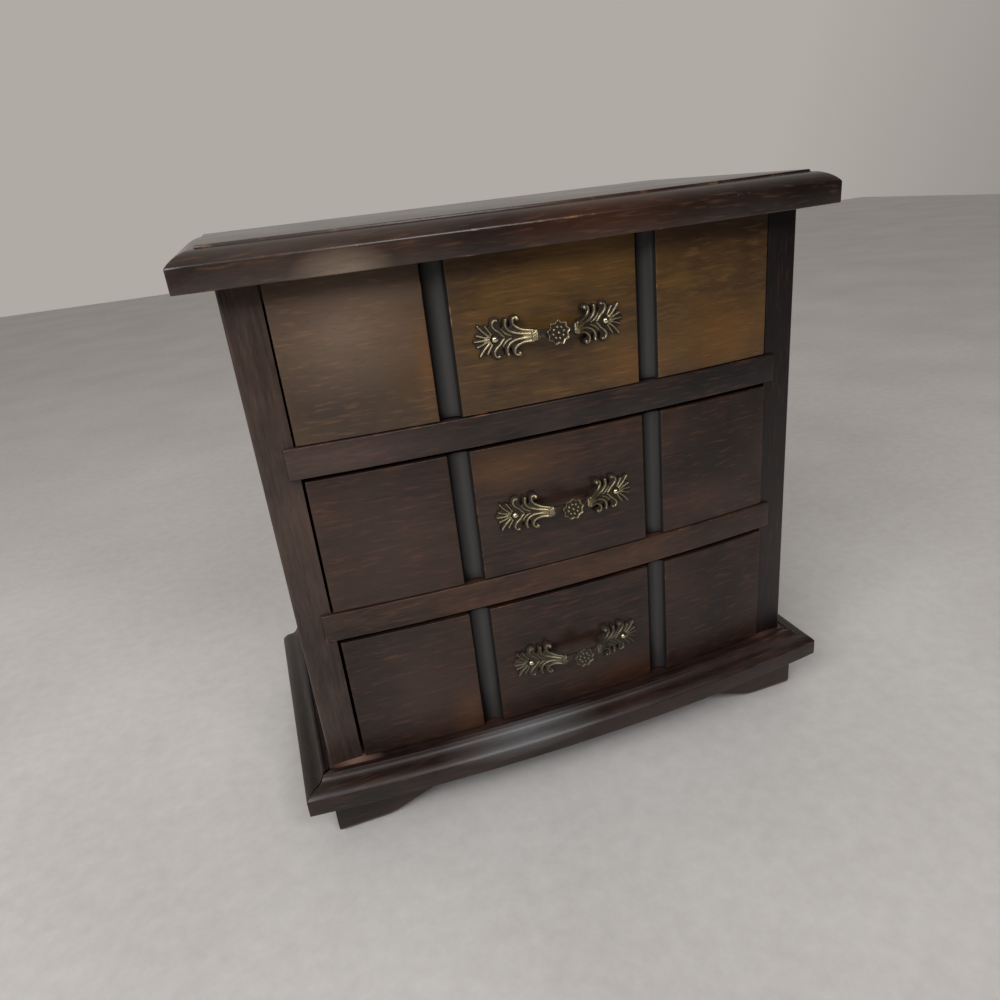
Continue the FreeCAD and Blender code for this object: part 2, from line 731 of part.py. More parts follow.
# Drawers: a bowed front with two hollow flutes, plain sides and back, and a bottom panel in grooves
FRONT_HALF = f"({INSIDE} - drawer_side_gap)"
PULL_FACE = f"({FRONT} - drawer_standout - drawer_rise)"
DRAWER_BACK = f"({FRONT} + drawer_front_depth)"
DRAWER_RADIUS = bend_radius(FRONT_HALF, "drawer_rise")
FLUTE_RADIUS = "(flute_width^2 / 8 / flute_depth + flute_depth / 2)"
FLUTE_SAG = f"({DRAWER_RADIUS} - sqrt({DRAWER_RADIUS}^2 - flute_place^2))"
FLUTE_CENTRE = f"({PULL_FACE} + {FLUTE_SAG} + flute_depth - {FLUTE_RADIUS})"
BOX_HALF = f"({FRONT_HALF} - box_side_gap)"
OPENINGS = {"bottom": "bottom_opening", "middle": "middle_opening", "top": "top_opening"}
BOX_ENDS = {
    "bottom": f"({BACK_FACE} - box_back_gap)",
    "middle": f"({BACK_FACE} - box_back_gap)",
    "top": f"({BACK_FACE} - {MOVEMENT_DEPTH})",
}
PIN_HOLE = "(pin_width / 2 + pin_clearance)"
BAR_END = "(pull_spacing / 2 - pull_neck)"


def surface(x):
    """How far back the drawer front's face lies at a distance x from its middle."""
    return f"({DRAWER_RADIUS} - sqrt({DRAWER_RADIUS}^2 - ({x})^2))"


def pull_plan(shift):
    """The pull from above: two leaves lying on the bowed face and a raised bar between them."""
    def out(x, height):
        return f"{PULL_FACE} + {surface(x)} - ({height})"

    leaf = "(pull_spacing / 2 + pull_leaf_tip)"
    root = "(pull_spacing / 2 - pull_leaf_root)"
    right = [
        (f"{BAR_END} - 2", out("0", "pull_rise"), ""),
        (f"{BAR_END} + 2", out("0", "pull_rise - 0.8"), ""),
        (root, out(root, "pull_plate + 1.6"), ""),
        ("pull_spacing / 2", out("pull_spacing / 2", "pull_plate + 0.3"), ""),
        (leaf, out(leaf, "pull_plate - 0.6"), ""),
        (leaf, out(leaf, "0"), "leaf"),
        (f"{root} - 1", out(f"{root} - 1", "0"), ""),
        (f"{BAR_END} + 1.5", out("0", "pull_rise - pull_bar_thickness - 0.6"), ""),
        (f"{BAR_END} - 2", out("0", "pull_rise - pull_bar_thickness"), ""),
    ]
    bend = f"(0 - ({leaf} - {root} + 1)^2 / 8 / {DRAWER_RADIUS})"
    corners = []
    for x, y, mark in right:
        corners.append((f"{shift} + {x}", y, bend) if mark else (f"{shift} + {x}", y))
    left = []
    for index, (x, y, mark) in enumerate(reversed(right)):
        before = list(reversed(right))[index + 1][2] if index + 1 < len(right) else ""
        left.append((f"{shift} - ({x})", y, bend) if before else (f"{shift} - ({x})", y))
    return corners + left


LEAF_LENGTH = "(pull_neck + pull_leaf_tip)"
LOBES = [
    (0.08, 0.4),
    (0.2, 0.74),
    (0.29, 0.95),
    (0.37, 0.76),
    (0.46, 0.66),
    (0.56, 0.98),
    (0.68, 1),
    (0.75, 0.73),
    (0.87, 0.69),
    (0.92, 0.39),
    (1, 0.18),
]
LEAF = [(BAR_END, "pull_bar_height / 2")]
LEAF += [(f"{BAR_END} + {LEAF_LENGTH} * {far}", f"pull_leaf_height / 2 * {wide}") for far, wide in LOBES]


def pull_face(shift, middle):
    """The pull from the front: two lobed leaves with scroll tips, joined by a slim bar."""
    corners = [(f"{shift} + {x}", f"{middle} + {height}") for x, height in LEAF]
    corners += [(f"{shift} + {x}", f"{middle} - ({height})") for x, height in reversed(LEAF)]
    corners += [(f"{shift} - ({x})", f"{middle} - ({height})") for x, height in LEAF]
    corners += [(f"{shift} - ({x})", f"{middle} + {height}") for x, height in reversed(LEAF)]
    return corners


def dome(body, way, x, y, z, radius):
    """Adds half a ball whose flat side is at (x, y, z)."""
    feature = body.newObject("PartDesign::AdditiveSphere", "Dome")
    feature.Placement = Placement(Vector(0, 0, 0), AIM[way])
    feature.Angle1 = 0
    feature.Angle2 = 90
    bind(feature, "Radius", radius)
    place(feature, x, y, z)


INNER_HALF = f"({BOX_HALF} - box_wall)"
for name, floor in BOX_FLOORS.items():
    shift = f"{name}_drawer_shift"
    low = f"({floor} + drawer_lift)"
    height = f"({OPENINGS[name]} - drawer_lift - {name}_drawer_gap)"
    middle = f"({low} + {height} / 2 - pull_drop)"
    box = f"({floor} + runner_gap)"
    wall_height = f"({OPENINGS[name]} - box_headroom)"
    panel_low = f"({box} + panel_rise)"
    panel_top = f"({panel_low} + panel_thickness)"
    end = BOX_ENDS[name]
    inner_end = f"({end} - box_wall)"
    pins = [f"{shift} - pull_spacing / 2", f"{shift} + pull_spacing / 2"]
    head_y = f"({PULL_FACE} + {surface('pull_spacing / 2')} - pull_plate - 0.5)"

    front = solid(f"{name}_drawer_front")
    outline = sketch_on(front, "XY_Plane", low)
    draw(outline, [
        (f"{shift} - {FRONT_HALF}", f"{FRONT} - drawer_standout", "drawer_rise"),
        (f"{shift} + {FRONT_HALF}", f"{FRONT} - drawer_standout"),
        (f"{shift} + {FRONT_HALF}", DRAWER_BACK),
        (f"{shift} - {FRONT_HALF}", DRAWER_BACK),
    ])
    pad(front, outline, height)
    for side in ("-", "+"):
        drill(front, "z", f"{shift} {side} flute_place", FLUTE_CENTRE, low, FLUTE_RADIUS, height)
    cut_box(front, f"{shift} - {INNER_HALF} - panel_groove", f"{DRAWER_BACK} - panel_groove", panel_low,
            f"2 * ({INNER_HALF} + panel_groove)", "panel_groove", "panel_thickness")
    for pin in pins:
        drill(front, "y", pin, PULL_FACE, middle, PIN_HOLE, "pin_length")

    for hand in ("left", "right"):
        wall = solid(f"{name}_drawer_{hand}_side")
        near = f"{shift} + {INNER_HALF}" if hand == "right" else f"{shift} - {BOX_HALF}"
        add_box(wall, near, DRAWER_BACK, box, "box_wall", f"{end} - {DRAWER_BACK}", wall_height)
        groove = near if hand == "right" else f"{near} + box_wall - panel_groove"
        cut_box(wall, groove, DRAWER_BACK, panel_low,
                "panel_groove", f"{inner_end} + panel_groove - {DRAWER_BACK}", "panel_thickness")

    back = solid(f"{name}_drawer_back")
    add_box(back, f"{shift} - {INNER_HALF}", inner_end, box, f"2 * {INNER_HALF}", "box_wall", wall_height)
    cut_box(back, f"{shift} - {INNER_HALF}", inner_end, panel_low,
            f"2 * {INNER_HALF}", "panel_groove", "panel_thickness")

    bottom = solid(f"{name}_drawer_bottom")
    add_box(bottom, f"{shift} - {INNER_HALF} - panel_groove", f"{DRAWER_BACK} - panel_groove", panel_low,
            f"2 * ({INNER_HALF} + panel_groove)", f"{inner_end} - {DRAWER_BACK} + 2 * panel_groove",
            "panel_thickness")

    lining = solid(f"{name}_drawer_lining")
    tray = f"({box} + {wall_height} - lining_drop - {panel_top})"
    add_box(lining, f"{shift} - {INNER_HALF}", DRAWER_BACK, panel_top,
            f"2 * {INNER_HALF}", f"{inner_end} - {DRAWER_BACK}", tray)
    cut_box(lining, f"{shift} - {INNER_HALF} + lining_thickness", f"{DRAWER_BACK} + lining_thickness",
            f"{panel_top} + lining_thickness",
            f"2 * ({INNER_HALF} - lining_thickness)",
            f"{inner_end} - {DRAWER_BACK} - 2 * lining_thickness", tray)

    # Cast pull, open behind its bar
    pull = solid(f"{name}_drawer_pull")
    plan = sketch_on(pull, "XY_Plane", f"{middle} - pull_leaf_height / 2 - 1")
    draw(plan, pull_plan(shift))
    pad(pull, plan, "pull_leaf_height + 2")
    face = sketch_on(pull, "XZ_Plane")
    draw(face, pull_face(shift, middle))
    draw(face, [
        (f"{shift} - pull_spacing", f"{middle} - pull_leaf_height"),
        (f"{shift} + pull_spacing", f"{middle} - pull_leaf_height"),
        (f"{shift} + pull_spacing", f"{middle} + pull_leaf_height"),
        (f"{shift} - pull_spacing", f"{middle} + pull_leaf_height"),
    ])
    pocket_through(pull, face)
    turn(pull, "y", shift, f"{PULL_FACE} - pull_rise - rosette_thickness", middle,
         "rosette_width / 2", "rosette_thickness + 1")
    for pin in pins:
        drill(pull, "y", pin, f"{PULL_FACE} - pull_rise", middle, PIN_HOLE, "pull_rise + 2")

    pull_pins = solid(f"{name}_drawer_pull_pins")
    pull_pins.AllowCompound = True
    for pin in pins:
        turn(pull_pins, "y", pin, head_y, middle, "pin_width / 2", "pin_length")
        dome(pull_pins, "front", pin, head_y, middle, "pin_head_width / 2")

# Ring pad at the back of the top drawer: a row of soft rolls with slots between them
PAD_END = f"({BOX_ENDS['top']} - box_wall - lining_thickness)"
PAD_FLOOR = f"({BOX_FLOORS['top']} + runner_gap + panel_rise + panel_thickness + lining_thickness)"
ring_pad = solid("ring_pad")
rolls = sketch_on(ring_pad, "YZ_Plane", f"top_drawer_shift - {INNER_HALF} + lining_thickness")
crest = f"{PAD_FLOOR} + ring_pad_height - ring_roll_rise"
corners = [(f"{PAD_END} - ring_pad_depth", PAD_FLOOR)]
for index in range(4):
    corners.append((f"{PAD_END} - ring_pad_depth * {1 - index / 4}", crest, "-ring_roll_rise"))
corners += [(PAD_END, crest), (PAD_END, PAD_FLOOR)]
draw(rolls, corners)
pad(ring_pad, rolls, f"2 * ({INNER_HALF} - lining_thickness)")

# Partition in the middle drawer
partition = solid("drawer_partition")
add_box(partition, "middle_drawer_shift - partition_place", f"{DRAWER_BACK} + lining_thickness",
        f"{BOX_FLOORS['middle']} + runner_gap + panel_rise + panel_thickness + lining_thickness",
        "partition_thickness", f"{BOX_ENDS['middle']} - box_wall - {DRAWER_BACK} - 2 * lining_thickness",
        "partition_height")


# Musical movement on the back panel, behind the shortened top drawer
def along(depth):
    """Row position of a point that stands forward of the back panel's inner face."""
    return f"({BACK_FACE} - ({depth}))"


def spindle_body(label, way, x, depth, z):
    """A turning part, drawn round its own axis and then put in its place."""
    body = solid(label)
    body.Placement = Placement(Vector(0, 0, 0), AIM[way])
    place(body, x, along(depth), z)
    return body


def repeat(body, feature, count):
    pattern = body.newObject("PartDesign::PolarPattern", "Round_about")
    pattern.Originals = [feature]
    pattern.Axis = ([item for item in body.Origin.OriginFeatures if item.Role == "Z_Axis"][0], [""])
    pattern.Angle = 360
    bind(pattern, "Occurrences", count)
    body.Tip = pattern


def toothed(body, count, radius, start, width, turned, reach, clearance):
    """A wheel or pinion: a disc to the bottom of the teeth, and one tooth repeated round it."""
    inner = f"({radius} - {reach} - {clearance})"
    half = f"(pi * {radius} / (2 * {count}) - tooth_play / 2)"
    turn(body, "z", "0", "0", start, inner, width)
    tooth = sketch_on(body, "XY_Plane", start)
    bind(tooth, "AttachmentOffset.Rotation.Angle", turned)
    draw(tooth, [
        (f"{inner} - 0.1", f"-1.25 * {half}"),
        (radius, f"-{half}"),
        (f"{radius} + {reach}", f"-0.5 * {half}"),
        (f"{radius} + {reach}", f"0.5 * {half}"),
        (radius, half),
        (f"{inner} - 0.1", f"1.25 * {half}"),
    ])
    repeat(body, pad(body, tooth, width), count)


PLATE_START = "(arbor_place - crown_radius - pinion_width / 2 - pinion_plate_gap)"
CYLINDER_START = f"({PLATE_START} - bearing_thickness - left_plate_gap)"
CYLINDER_END = f"(cylinder_length - {CYLINDER_START})"
TRAIN_AT = f"({CYLINDER_END} + train_collar)"
PLATE_AT = f"({TRAIN_AT} + train_wheel_width + plate_gap)"
SECOND_AT = f"({PLATE_AT} + bearing_thickness + second_gap)"
BLADE_AT = f"({SECOND_AT} + train_wheel_width + blade_gap)"
DRUM_AT = f"({BLADE_AT} + brake_length + drum_gap)"
BRACKET_AT = f"({DRUM_AT} + drum_width + bracket_gap)"
SPINDLE_HOLE = "(spindle_width / 2 + running_clearance)"
WHEEL_RADIUS = "(train_module * cylinder_wheel_teeth / 2)"
GOVERNOR_PINION_RADIUS = "(train_module * governor_pinion_teeth / 2)"
GOVERNOR_WHEEL_RADIUS = "(train_module * governor_wheel_teeth / 2)"
BRAKE_PINION_RADIUS = "(train_module * brake_pinion_teeth / 2)"
GOVERNOR_BACK = f"sqrt(({WHEEL_RADIUS} + {GOVERNOR_PINION_RADIUS})^2 - governor_drop^2)"
BRAKE_BACK = f"sqrt(({GOVERNOR_WHEEL_RADIUS} + {BRAKE_PINION_RADIUS})^2 - brake_drop^2)"
GOVERNOR_DEPTH = f"({AXIS_DEPTH} - {GOVERNOR_BACK})"
BRAKE_DEPTH = f"({GOVERNOR_DEPTH} - {BRAKE_BACK})"
GOVERNOR_Z = f"({MOVEMENT} - governor_drop)"
BRAKE_Z = f"({GOVERNOR_Z} - brake_drop)"
FIRST_ANGLE = f"atan({GOVERNOR_BACK} / governor_drop)"
SECOND_ANGLE = f"atan({BRAKE_BACK} / brake_drop)"
COMB_DEPTH = f"({AXIS_DEPTH} - comb_thickness / 2)"
COMB_LOW = f"({MOVEMENT} + cylinder_width / 2 + cylinder_pin_height + comb_tip_gap)"
COMB_TOP = f"({MOVEMENT} + bedplate_above - comb_margin)"
COMB_ROOT = f"({COMB_TOP} - comb_seat_height)"
COMB_SCREWS = [f"-{CYLINDER_START} + comb_length * 0.25", f"-{CYLINDER_START} + comb_length * 0.75"]
COMB_SCREW_Z = f"(({COMB_ROOT} + {COMB_TOP}) / 2)"
ARBOR_FIT = "(arbor_width / 2 + running_clearance)"

# Bedplate with a raised seat for the comb
bedplate = solid("movement_bedplate")
add_box(bedplate, "-bedplate_half_width", along("bedplate_thickness"), f"{MOVEMENT} - bedplate_below",
        "2 * bedplate_half_width", "bedplate_thickness", "bedplate_above + bedplate_below")
add_box(bedplate, f"-{CYLINDER_START}", along(COMB_DEPTH), COMB_ROOT,
        "comb_length", f"{COMB_DEPTH} - bedplate_thickness / 2", f"{COMB_TOP} - {COMB_ROOT}")
drill(bedplate, "y", "-arbor_place", along("bedplate_thickness"), MOVEMENT, ARBOR_FIT, "bedplate_thickness")
for x, z in MOUNT_SPOTS:
    drill(bedplate, "y", x, along("bedplate_thickness"), z, MOUNT_HOLE, "bedplate_thickness")
for x in COMB_SCREWS:
    drill(bedplate, "y", x, along(COMB_DEPTH), COMB_SCREW_Z, "comb_screw_width / 2 + screw_clearance",
          "comb_screw_reach + comb_screw_width / 2")

# Spring housing round the winding arbor
housing = solid("spring_housing")
turn(housing, "y", "-arbor_place", along(HOUSING_END), MOVEMENT, "housing_width / 2", "housing_height")
drill(housing, "y", "-arbor_place", along(HOUSING_END), MOVEMENT, ARBOR_FIT, "housing_height")

# Crown wheel on the winding arbor, which passes through the back panel to the key
great_wheel = spindle_body("great_wheel", "front", "-arbor_place", "0", MOVEMENT)
turn(great_wheel, "z", "0", "0", CROWN_BACK, "crown_radius + crown_face / 2", "crown_web")
turn(great_wheel, "z", "0", "0", "-back_thickness - key_gap - key_socket", "arbor_width / 2",
     f"{CROWN_FLOOR} + arbor_stub + back_thickness + key_gap + key_socket")
crown_tooth = sketch_on(great_wheel, "YZ_Plane", "crown_radius - crown_face / 2")
CROWN_HALF = "(pi * crown_radius / (2 * crown_teeth) - tooth_play / 2)"
draw(crown_tooth, [
    (f"-1.25 * {CROWN_HALF}", f"{CROWN_FLOOR} - 0.2"),
    (f"-0.5 * {CROWN_HALF}", CROWN_TIP),
    (f"0.5 * {CROWN_HALF}", CROWN_TIP),
    (f"1.25 * {CROWN_HALF}", f"{CROWN_FLOOR} - 0.2"),
])
repeat(great_wheel, pad(great_wheel, crown_tooth, "crown_face"), "crown_teeth")

# Pinned cylinder with its driving pinion and end wheel
cylinder = spindle_body("pin_cylinder", "x", "0", AXIS_DEPTH, MOVEMENT)
PINION_AT = "(-arbor_place + crown_radius - pinion_width / 2)"
turn(cylinder, "z", "0", "0", f"{PINION_AT} - spindle_end", "spindle_width / 2",
     f"{PLATE_AT} + bearing_thickness + 2 * spindle_end - {PINION_AT}")
turn(cylinder, "z", "0", "0", f"-{CYLINDER_START}", "cylinder_width / 2", "cylinder_length")
turn(cylinder, "z", "0", "0", CYLINDER_END, "spindle_width", "train_collar")
for group, times in ((0, 5), (1, 7), (2, 8)):
    pins = sketch_on(cylinder, "YZ_Plane", "cylinder_width / 2 - 0.3")
    for index in range(group, 18, 3):
        draw_circle(pins, "0", f"-{CYLINDER_START} + comb_length / comb_teeth * ({index} + 0.5)",
                    "cylinder_pin_width / 2")
    repeat(cylinder, pad(cylinder, pins, "cylinder_pin_height + 0.3"), str(times))
toothed(cylinder, "pinion_teeth", PINION_RADIUS, PINION_AT, "pinion_width",
        "180 deg / pinion_teeth", "tooth_reach", "tooth_clearance")
toothed(cylinder, "cylinder_wheel_teeth", WHEEL_RADIUS, TRAIN_AT, "train_wheel_width",
        FIRST_ANGLE, "train_reach", "train_clearance")

# Second wheel of the train
second = spindle_body("governor_wheel", "x", "0", GOVERNOR_DEPTH, GOVERNOR_Z)
turn(second, "z", "0", "0", f"{TRAIN_AT} - pinion_margin", "spindle_width / 2",
     f"{BRACKET_AT} + bearing_thickness + spindle_end - {TRAIN_AT} + pinion_margin")
toothed(second, "governor_pinion_teeth", GOVERNOR_PINION_RADIUS, f"{TRAIN_AT} - pinion_margin",
        "train_wheel_width + 2 * pinion_margin",
        f"{FIRST_ANGLE} + 180 deg + 180 deg / governor_pinion_teeth", "train_reach", "train_clearance")
toothed(second, "governor_wheel_teeth", GOVERNOR_WHEEL_RADIUS, SECOND_AT, "train_wheel_width",
        SECOND_ANGLE, "train_reach", "train_clearance")

# Air brake: a fast two-bladed fan with a small stop drum
brake = spindle_body("air_brake", "x", "0", BRAKE_DEPTH, BRAKE_Z)
turn(brake, "z", "0", "0", f"{PLATE_AT} - spindle_end", "spindle_width / 2",
     f"{BRACKET_AT} + bearing_thickness + 2 * spindle_end - {PLATE_AT}")
toothed(brake, "brake_pinion_teeth", BRAKE_PINION_RADIUS, f"{SECOND_AT} - pinion_margin",
        "train_wheel_width + 2 * pinion_margin",
        f"{SECOND_ANGLE} + 180 deg + 180 deg / brake_pinion_teeth", "train_reach", "train_clearance")
add_box(brake, "-brake_blade", "-blade_thickness / 2", BLADE_AT,
        "2 * brake_blade", "blade_thickness", "brake_length")
turn(brake, "z", "0", "0", DRUM_AT, "drum_width_across / 2", "drum_width")

# Bearing plates of the cylinder, each with a foot on the bedplate
bearings = solid("cylinder_bearings")
bearings.AllowCompound = True
LEFT_AT = f"(-{CYLINDER_START} - left_plate_gap - bearing_thickness)"
PLATE_REACH = f"({AXIS_DEPTH} + plate_margin)"
PLATE_TOP = f"({MOVEMENT} + plate_half_height)"
PLATE_LOW = f"({MOVEMENT} - plate_half_height)"
TRAIN_LOW = f"({BRAKE_Z} - plate_half_height + 1)"
add_box(bearings, LEFT_AT, along(PLATE_REACH), PLATE_LOW,
        "bearing_thickness", f"{PLATE_REACH} - bedplate_thickness", "2 * plate_half_height")
add_box(bearings, LEFT_AT, along("bedplate_thickness + plate_foot_thickness"), PLATE_LOW,
        "plate_foot", "plate_foot_thickness", "2 * plate_half_height")
add_box(bearings, PLATE_AT, along(PLATE_REACH), TRAIN_LOW,
        "bearing_thickness", f"{PLATE_REACH} - bedplate_thickness", f"{PLATE_TOP} - {TRAIN_LOW}")
add_box(bearings, f"{PLATE_AT} + bearing_thickness - plate_foot",
        along("bedplate_thickness + plate_foot_thickness"), PLATE_LOW,
        "plate_foot", "plate_foot_thickness", "2 * plate_half_height")
drill(bearings, "x", LEFT_AT, along(AXIS_DEPTH), MOVEMENT, SPINDLE_HOLE, "bearing_thickness")
drill(bearings, "x", PLATE_AT, along(AXIS_DEPTH), MOVEMENT, SPINDLE_HOLE, "bearing_thickness")
drill(bearings, "x", PLATE_AT, along(GOVERNOR_DEPTH), GOVERNOR_Z, SPINDLE_HOLE, "bearing_thickness")
drill(bearings, "x", PLATE_AT, along(BRAKE_DEPTH), BRAKE_Z, SPINDLE_HOLE, "bearing_thickness")

# Governor bracket: outer bearing of the train, with the stop lever's stud
LEVER_Z = f"({MOVEMENT} - lever_drop)"
BRACKET_LOW = f"({MOVEMENT} - bedplate_below + 1)"
BRACKET_TOP = f"({GOVERNOR_Z} + plate_margin + spindle_width / 2)"
bracket_plate = solid("governor_bracket")
add_box(bracket_plate, BRACKET_AT, along(f"{GOVERNOR_DEPTH} + plate_margin"), BRACKET_LOW,
        "bearing_thickness", f"{GOVERNOR_DEPTH} + plate_margin - bedplate_thickness",
        f"{BRACKET_TOP} - {BRACKET_LOW}")
add_box(bracket_plate, BRACKET_AT, along("bedplate_thickness + plate_foot_thickness"), BRACKET_LOW,
        f"bedplate_half_width - {BRACKET_AT}", "plate_foot_thickness", f"{BRACKET_TOP} - {BRACKET_LOW}")
drill(bracket_plate, "x", BRACKET_AT, along(GOVERNOR_DEPTH), GOVERNOR_Z, SPINDLE_HOLE, "bearing_thickness")
drill(bracket_plate, "x", BRACKET_AT, along(BRAKE_DEPTH), BRAKE_Z, SPINDLE_HOLE, "bearing_thickness")
turn(bracket_plate, "x", f"{DRUM_AT} - spindle_end", along("lever_depth"), LEVER_Z, "stud_width / 2",
     f"{BRACKET_AT} - {DRUM_AT} + spindle_end + bearing_thickness / 2")

# Stop lever: the closed top drawer holds its tip, and its nub then rests by the stop drum
lever = solid("stop_lever")
TIP_DEPTH = f"({MOVEMENT_DEPTH} - lever_tip_gap)"
NUB_Z = f"({BRAKE_Z} - drum_width_across / 2 - lever_brake_gap)"
LEVER_AT = f"({DRUM_AT} + drum_width / 2 - lever_thickness / 2)"
outline = sketch_on(lever, "YZ_Plane", LEVER_AT)
draw(outline, [
    (along("lever_depth - lever_width / 2"), f"{LEVER_Z} - lever_width / 2"),
    (along(f"{TIP_DEPTH} - lever_width"), f"{LEVER_Z} - lever_width / 2"),
    (along(TIP_DEPTH), f"{LEVER_Z} + lever_tip_rise"),
    (along(TIP_DEPTH), f"{LEVER_Z} + lever_tip_rise + 2.5"),
    (along(f"{TIP_DEPTH} - lever_width / 2"), f"{LEVER_Z} + lever_tip_rise + 2.5"),
    (along(f"{TIP_DEPTH} - 1.5 * lever_width"), f"{LEVER_Z} + lever_width / 6"),
    (along(f"{BRAKE_DEPTH} + nub_width * 0.75"), f"{LEVER_Z} + lever_width / 6"),
    (along(f"{BRAKE_DEPTH} + nub_width / 2"), NUB_Z),
    (along(f"{BRAKE_DEPTH} - nub_width / 2"), NUB_Z),
    (along(f"{BRAKE_DEPTH} - nub_width * 0.75"), f"{LEVER_Z} + lever_width / 6"),
    (along("lever_depth + lever_width / 2"), f"{LEVER_Z} + lever_width / 2"),
    (along("lever_depth - lever_width / 2"), f"{LEVER_Z} + lever_width / 2"),
])
pad(lever, outline, "lever_thickness")
drill(lever, "x", LEVER_AT, along("lever_depth"), LEVER_Z,
      "stud_width / 2 + running_clearance", "lever_thickness")

# Comb: steel plate cut into tuned teeth, screwed to its seat
comb = solid("comb")
add_box(comb, f"-{CYLINDER_START}", along(f"{COMB_DEPTH} + comb_thickness"), COMB_LOW,
        "comb_length", "comb_thickness", f"{COMB_TOP} - {COMB_LOW}")
slot = cut_box(comb, f"-{CYLINDER_START} + comb_length / comb_teeth - comb_slot / 2",
               along(f"{COMB_DEPTH} + comb_thickness"), COMB_LOW,
               "comb_slot", "comb_thickness", f"{COMB_ROOT} - {COMB_LOW}")
slots = comb.newObject("PartDesign::LinearPattern", "Slots")
slots.Originals = [slot]
slots.Direction = ([item for item in comb.Origin.OriginFeatures if item.Role == "X_Axis"][0], [""])
bind(slots, "Length", "comb_length / comb_teeth * (comb_teeth - 2)")
bind(slots, "Occurrences", "comb_teeth - 1")
comb.Tip = slots
for x in COMB_SCREWS:
    drill(comb, "y", x, along(f"{COMB_DEPTH} + comb_thickness"), COMB_SCREW_Z,
          "comb_screw_width / 2 + screw_clearance", "comb_thickness")

# Fasteners
comb_screws = solid("comb_screws")
comb_screws.AllowCompound = True
for x in COMB_SCREWS:
    face_y = along(f"{COMB_DEPTH} + comb_thickness")
    turn(comb_screws, "y", x, f"{face_y} - comb_screw_head_height", COMB_SCREW_Z,
         "comb_screw_width", "comb_screw_head_height")
    turn(comb_screws, "y", x, face_y, COMB_SCREW_Z,
         "comb_screw_width / 2", "comb_thickness + comb_screw_reach")

movement_screws = solid("movement_screws")
movement_screws.AllowCompound = True
for x, z in MOUNT_SPOTS:
    turn(movement_screws, "y", x, BACK_OUTSIDE, z, "movement_screw_head / 2", "movement_screw_head_height")
    turn(movement_screws, "y", x, along("movement_screw_reach"), z, "movement_screw_width / 2",
         "movement_screw_reach + back_thickness")

back_brads = solid("back_panel_brads")
back_brads.AllowCompound = True
for hand in ("left", "right"):
    for spot in BRAD_SPOTS:
        turn(back_brads, "y", f"{sign(hand)}{BRAD_PLACE}", BACK_OUTSIDE, spot,
             "brad_head / 2", "brad_head_height")
        turn(back_brads, "y", f"{sign(hand)}{BRAD_PLACE}", f"{BACK_OUTSIDE} - brad_length", spot,
             "brad_width / 2", "brad_length")

base_screws = solid("base_screws")
base_screws.AllowCompound = True
for hand in ("left", "right"):
    for spot in SCREW_SPOTS:
        x = f"{sign(hand)}{SCREW_PLACE}"
        turn(base_screws, "z", x, spot, "foot_height", "screw_head / 2", "screw_head_height")
        turn(base_screws, "z", x, spot, "foot_height + screw_head_height", "screw_width / 2", "screw_length")

cleat_screws = solid("cleat_screws")
cleat_screws.AllowCompound = True
for hand in ("left", "right"):
    for spot in CLEAT_SPOTS:
        x = f"{sign(hand)}{CLEAT_MIDDLE}"
        turn(cleat_screws, "z", x, spot, f"{TOP} - cleat_width", "screw_head / 2", "screw_head_height")
        turn(cleat_screws, "z", x, spot, f"{TOP} - cleat_width + screw_head_height",
             "screw_width / 2", "short_screw_length")
    for spot in CLEAT_SIDE_SPOTS:
        z = f"{TOP} - cleat_width / 2"
        if hand == "right":
            head_x = f"{INSIDE} - cleat_width"
            shank_x = f"{head_x} + screw_head_height"
        else:
            head_x = f"-{INSIDE} + cleat_width - screw_head_height"
            shank_x = f"{head_x} - short_screw_length"
        turn(cleat_screws, "x", head_x, spot, z, "screw_head / 2", "screw_head_height")
        turn(cleat_screws, "x", shank_x, spot, z, "screw_width / 2", "short_screw_length")

# Winding key on the end of the arbor, its end the rearmost point of the object
KEY_END = f"({CASE_BACK} + key_standout)"
key = solid("winding_key")
turn(key, "y", "-arbor_place", f"{BACK_OUTSIDE} + key_gap", MOVEMENT, "key_hub_width / 2",
     f"{KEY_END} - {BACK_OUTSIDE} - key_gap")
add_box(key, "-arbor_place - key_wing_width / 2", f"{KEY_END} - key_wing_length",
        f"{MOVEMENT} - key_wing_thickness / 2", "key_wing_width", "key_wing_length", "key_wing_thickness")
drill(key, "y", "-arbor_place", f"{BACK_OUTSIDE} + key_gap", MOVEMENT, "arbor_width / 2", "key_socket")

doc.recompute()
for thing in doc.Objects:
    if "Invalid" in thing.State or "Error" in thing.State:
        raise SystemExit(f"{thing.Name} failed: {thing.State}")
os.makedirs("parts", exist_ok=True)
for thing in PIECES:
    if thing.Shape.isNull() or not thing.Shape.isValid():
        raise SystemExit(f"{thing.Label} has no valid shape")
    thing.Shape.exportStep(f"parts/{thing.Label}.step")
